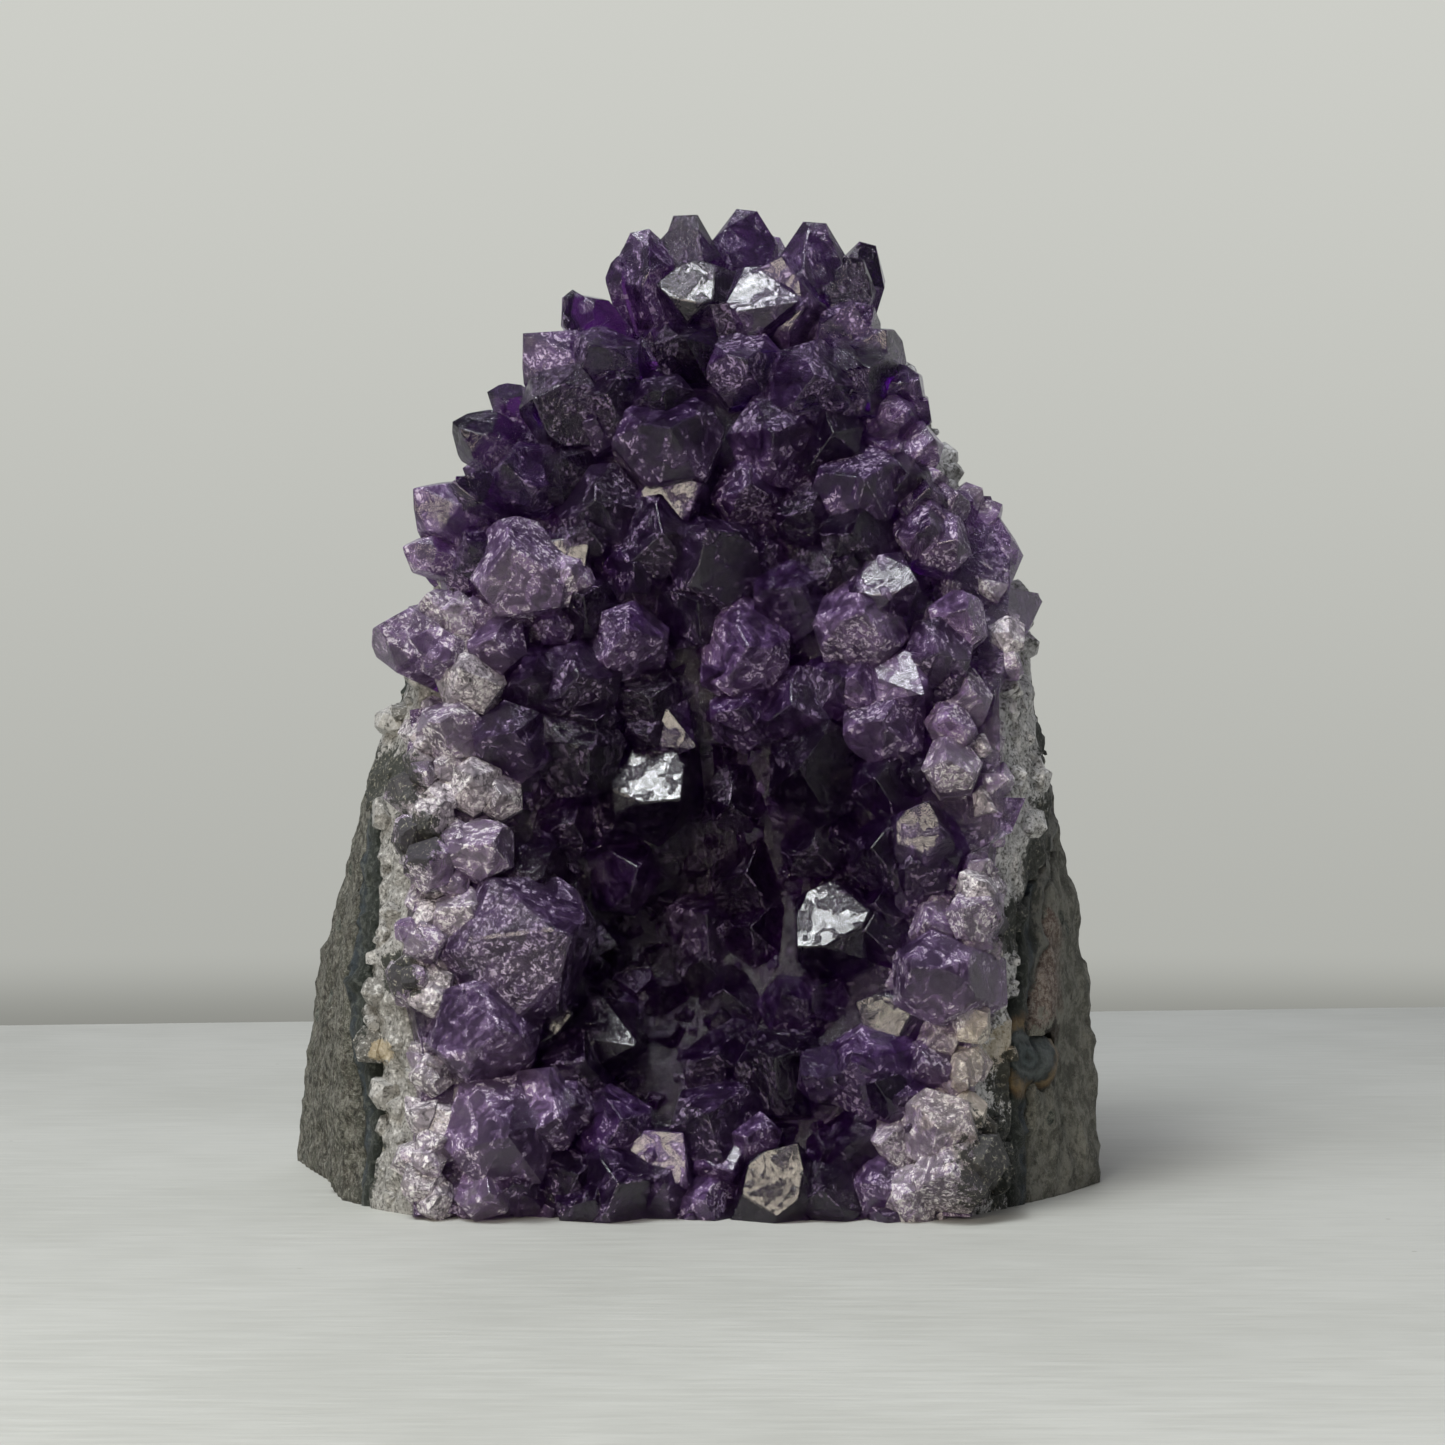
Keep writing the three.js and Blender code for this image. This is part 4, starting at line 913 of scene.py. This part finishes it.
def amethyst_look():
    look, place = start_look("amethyst")
    own, tone, flank, corner, face_own = (
        attribute(place, name) for name in ("own", "tone", "flank", "corner", "face_own"))
    on_crystal = attribute(place, "on_crystal", 1)
    scaled = on_crystal.node("VectorMath", {"operation": "SCALE"}, {0: on_crystal, 3: MM})
    rooted = (scaled.along(2) * (-1 / MM)).between(2.5, 9)
    clouds = place.noise(9, 4)
    crumble = scaled.noise(0.62, 5, 0.78, 0.7)
    drifts = scaled.noise(2.4, 4, 0.62, 0.8)
    rubbed = scaled.noise(1.3, 5, 0.7, 1.5)
    striped = scaled.scaled_by(0.3, 0.3, 2.5).noise(0.8, 4, 0.6)
    # How pale the stone is, with the painted shade of the hollow and the crevices that the tone carries, and
    # which faces are etched all over: most of the flanks, low down.
    shade = tone + (own - 0.5) * 0.22 + (clouds - 0.5) * 0.5
    etched = (face_own + flank * 0.2 + rooted * 0.15 - corner).between(0.5, 0.95)
    pale = (shade - 0.6).between(0.0, 0.5)
    # The speckled parts: healed cracks inside and etched flanks outside, lilac to white.
    speckle = crumble.between(0.5, 0.59) * (drifts + etched * 0.16 + shade * 0.1).between(0.56, 0.7)
    from_middle = rubbed.node("Math", {"operation": "ABSOLUTE"}, {0: rubbed - 0.5})
    lines = (1 - from_middle.between(0.003, 0.014)) * drifts.between(0.46, 0.56)
    worn = corner * crumble.between(0.5, 0.6) * face_own.between(0.4, 0.9)
    # Milky veils, thicker in pale stone, and the celadonite that grew over it.
    glow = shade.between(0.3, 0.85) * (drifts.between(0.42, 0.62) * 0.35 + 0.14)
    haze = own.between(0.3, 1.0) * drifts.between(0.3, 0.62) * 0.2 + pale * 0.25 + glow + 0.03
    green = greened(place, place.noise(2.0, 5, 0.8))
    fog = (speckle * 0.62 + lines * 0.3) * (shade.between(0.0, 0.6) * 0.64 + 0.36) + worn * 0.4 + haze + green
    body = (shade + (rubbed - 0.5) * 0.7).ramp(
        (0.0, (0.05, 0.016, 0.095)), (0.4, (0.13, 0.05, 0.235)), (0.7, (0.36, 0.23, 0.47)),
        (1.0, (0.56, 0.5, 0.56)))
    bright = shade.between(0.3, 1.0).mixed((0.42, 0.3, 0.52), (0.88, 0.86, 0.86))
    milk_color = (speckle + worn).between(0.05, 0.7).mixed(body, bright)
    seams = 1 - scaled.cells(2.1, "DISTANCE_TO_EDGE").between(0.0, 0.1)
    milk_color = (pale * (crumble.between(0.48, 0.4) + seams * 0.6) * 0.8).mixed(milk_color, (0.1, 0.09, 0.1))
    warm = place.patch(36, 19, 11, clouds) * pale
    milk_color = (warm * 0.65).mixed(milk_color, (0.8, 0.71, 0.56))
    milk_color = (green * 0.93).mixed(milk_color, crumble.between(0.57, 0.63).mixed(
        (0.007, 0.01, 0.007), (0.26, 0.25, 0.19)))
    # The clear stone is seen through, and the milky stone covers it by the fog.
    clear_color = shade.ramp(
        (0.0, (0.3, 0.14, 0.42)), (0.35, (0.5, 0.28, 0.66)), (0.7, (0.78, 0.62, 0.88)),
        (1.0, (0.95, 0.92, 0.96)))
    relief = (crumble * (etched * 0.8 + drifts.between(0.5, 0.58) * 0.35) + striped * flank * 0.5 + (
        rubbed * (0.2 + etched * 0.25))).relief(0.3)
    clear = place.node("BsdfPrincipled", {}, {
        "Base Color": clear_color, "Roughness": 0.015 + etched * crumble * 0.25, "IOR": 1.544,
        "Transmission Weight": 1.0, "Normal": relief})
    milk = place.node("BsdfPrincipled", {}, {
        "Base Color": milk_color, "Roughness": 0.12 + crumble * 0.2 + green * 0.5, "IOR": 1.544,
        "Normal": relief})
    surface = place.node("MixShader", {}, {0: fog.sum("MINIMUM", fog, 0.94), 1: clear, 2: milk})
    depth = place.node("VolumeAbsorption", {}, {"Color": (0.62, 0.34, 0.71, 1), "Density": 560.0})
    end_look(look, surface, depth)
    return look


dress(crust, amethyst_look())
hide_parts("amethyst_crystals")
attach(crust, "root")

# The setting: a pale painted shelf before a pale wall, in a room with a cool window high on the left,
# which holds a small bright piece of sky, and a warm window low in the left front.


def shelf_look():
    look, place = start_look("painted_shelf")
    brushed = place.scaled_by(0.12, 1, 1).noise(1.6, 5, 0.65)
    blotches = place.noise(60, 4)
    specks = 1 - place.cells(9).between(0.02, 0.05)
    color = (blotches * 0.5 + brushed * 0.5).between(0.35, 0.65).mixed(
        (0.485, 0.49, 0.447), (0.572, 0.577, 0.534))
    color = (specks * 0.5 * blotches.between(0.5, 0.6)).mixed(color, (0.25, 0.24, 0.19))
    surface = place.node("BsdfPrincipled", {}, {
        "Base Color": color, "Roughness": 0.5 + brushed * 0.25, "Normal": brushed.relief(0.12)})
    end_look(look, surface)
    return look


shelf = added(bpy.ops.mesh.primitive_cube_add, size=1, location=(0, -0.104, -0.01))
shelf.name = "shelf"
shelf.dimensions = (1.4, 0.6, 0.02)
shelf.rotation_euler.z = math.radians(7)
bpy.ops.object.transform_apply(location=True, rotation=True, scale=True)
dress(shelf, shelf_look())

# The room lights the stone from all round, most from behind. What shows of it is the wall, which darkens
# towards the shelf in a painted gradient of shade, with a painted shadow band just above the shelf.
world = bpy.data.worlds.new("pale_room")
world.use_nodes = True
background = world.node_tree.nodes["Background"]
way = Wire(world.node_tree.nodes.new("ShaderNodeTexCoord").outputs["Generated"])
height, depth = way.along(2), way.along(1)
room = depth.between(-0.6, 0.8).mixed((0.07, 0.066, 0.072), (0.5, 0.5, 0.5))
room = height.between(0.1, 1).mixed(room, (0.24, 0.24, 0.27))
# Painted shade: the wall is lighter high up and darker low down.
wall = height.between(-0.2, 0.2).mixed((0.401, 0.406, 0.378), (0.626, 0.633, 0.592))
# A painted shadow on the wall where it meets the shelf.
wall = height.between(-0.107, -0.087).mixed((0.27, 0.272, 0.25), wall)
shown = way.node("LightPath", {}, {}, 0).mixed(room, wall)
world.node_tree.links.new(shown.socket, background.inputs["Color"])
bpy.context.scene.world = world


def hang_light(name, place, size, brightness, color):
    """A square lamp that faces the stone, equally bright to look at whatever its size."""
    light = bpy.data.lights.new(name, "AREA")
    light.shape, light.size = "SQUARE", size
    light.energy = brightness * math.pi * size ** 2
    light.color = color
    lamp = bpy.data.objects.new(name, light)
    bpy.context.scene.collection.objects.link(lamp)
    lamp.location = place
    lamp.rotation_euler = (Vector((0, 0, 0.06)) - lamp.location).to_track_quat("-Z", "Y").to_euler()


hang_light("cool_window", COOL_WINDOW * MM, 0.5, 5.4, (0.93, 0.97, 1))
hang_light("cool_sky", COOL_WINDOW * MM * 0.96, 0.16, 24, (0.95, 0.98, 1))
hang_light("warm_window", WARM_WINDOW * MM, 0.34, 9, (1, 0.9, 0.74))

lens = bpy.data.cameras.new("camera")
lens.lens, lens.sensor_width, lens.clip_end = 106, 36, 10
camera = bpy.data.objects.new("camera", lens)
bpy.context.scene.collection.objects.link(camera)
camera.location = ((EYE.x + CENTRING[0]) * MM, (EYE.y + CENTRING[1]) * MM, EYE.z * MM)
camera.rotation_euler = (math.radians(88), 0, 0)
bpy.context.scene.camera = camera
bpy.context.scene.view_settings.view_transform = "Standard"
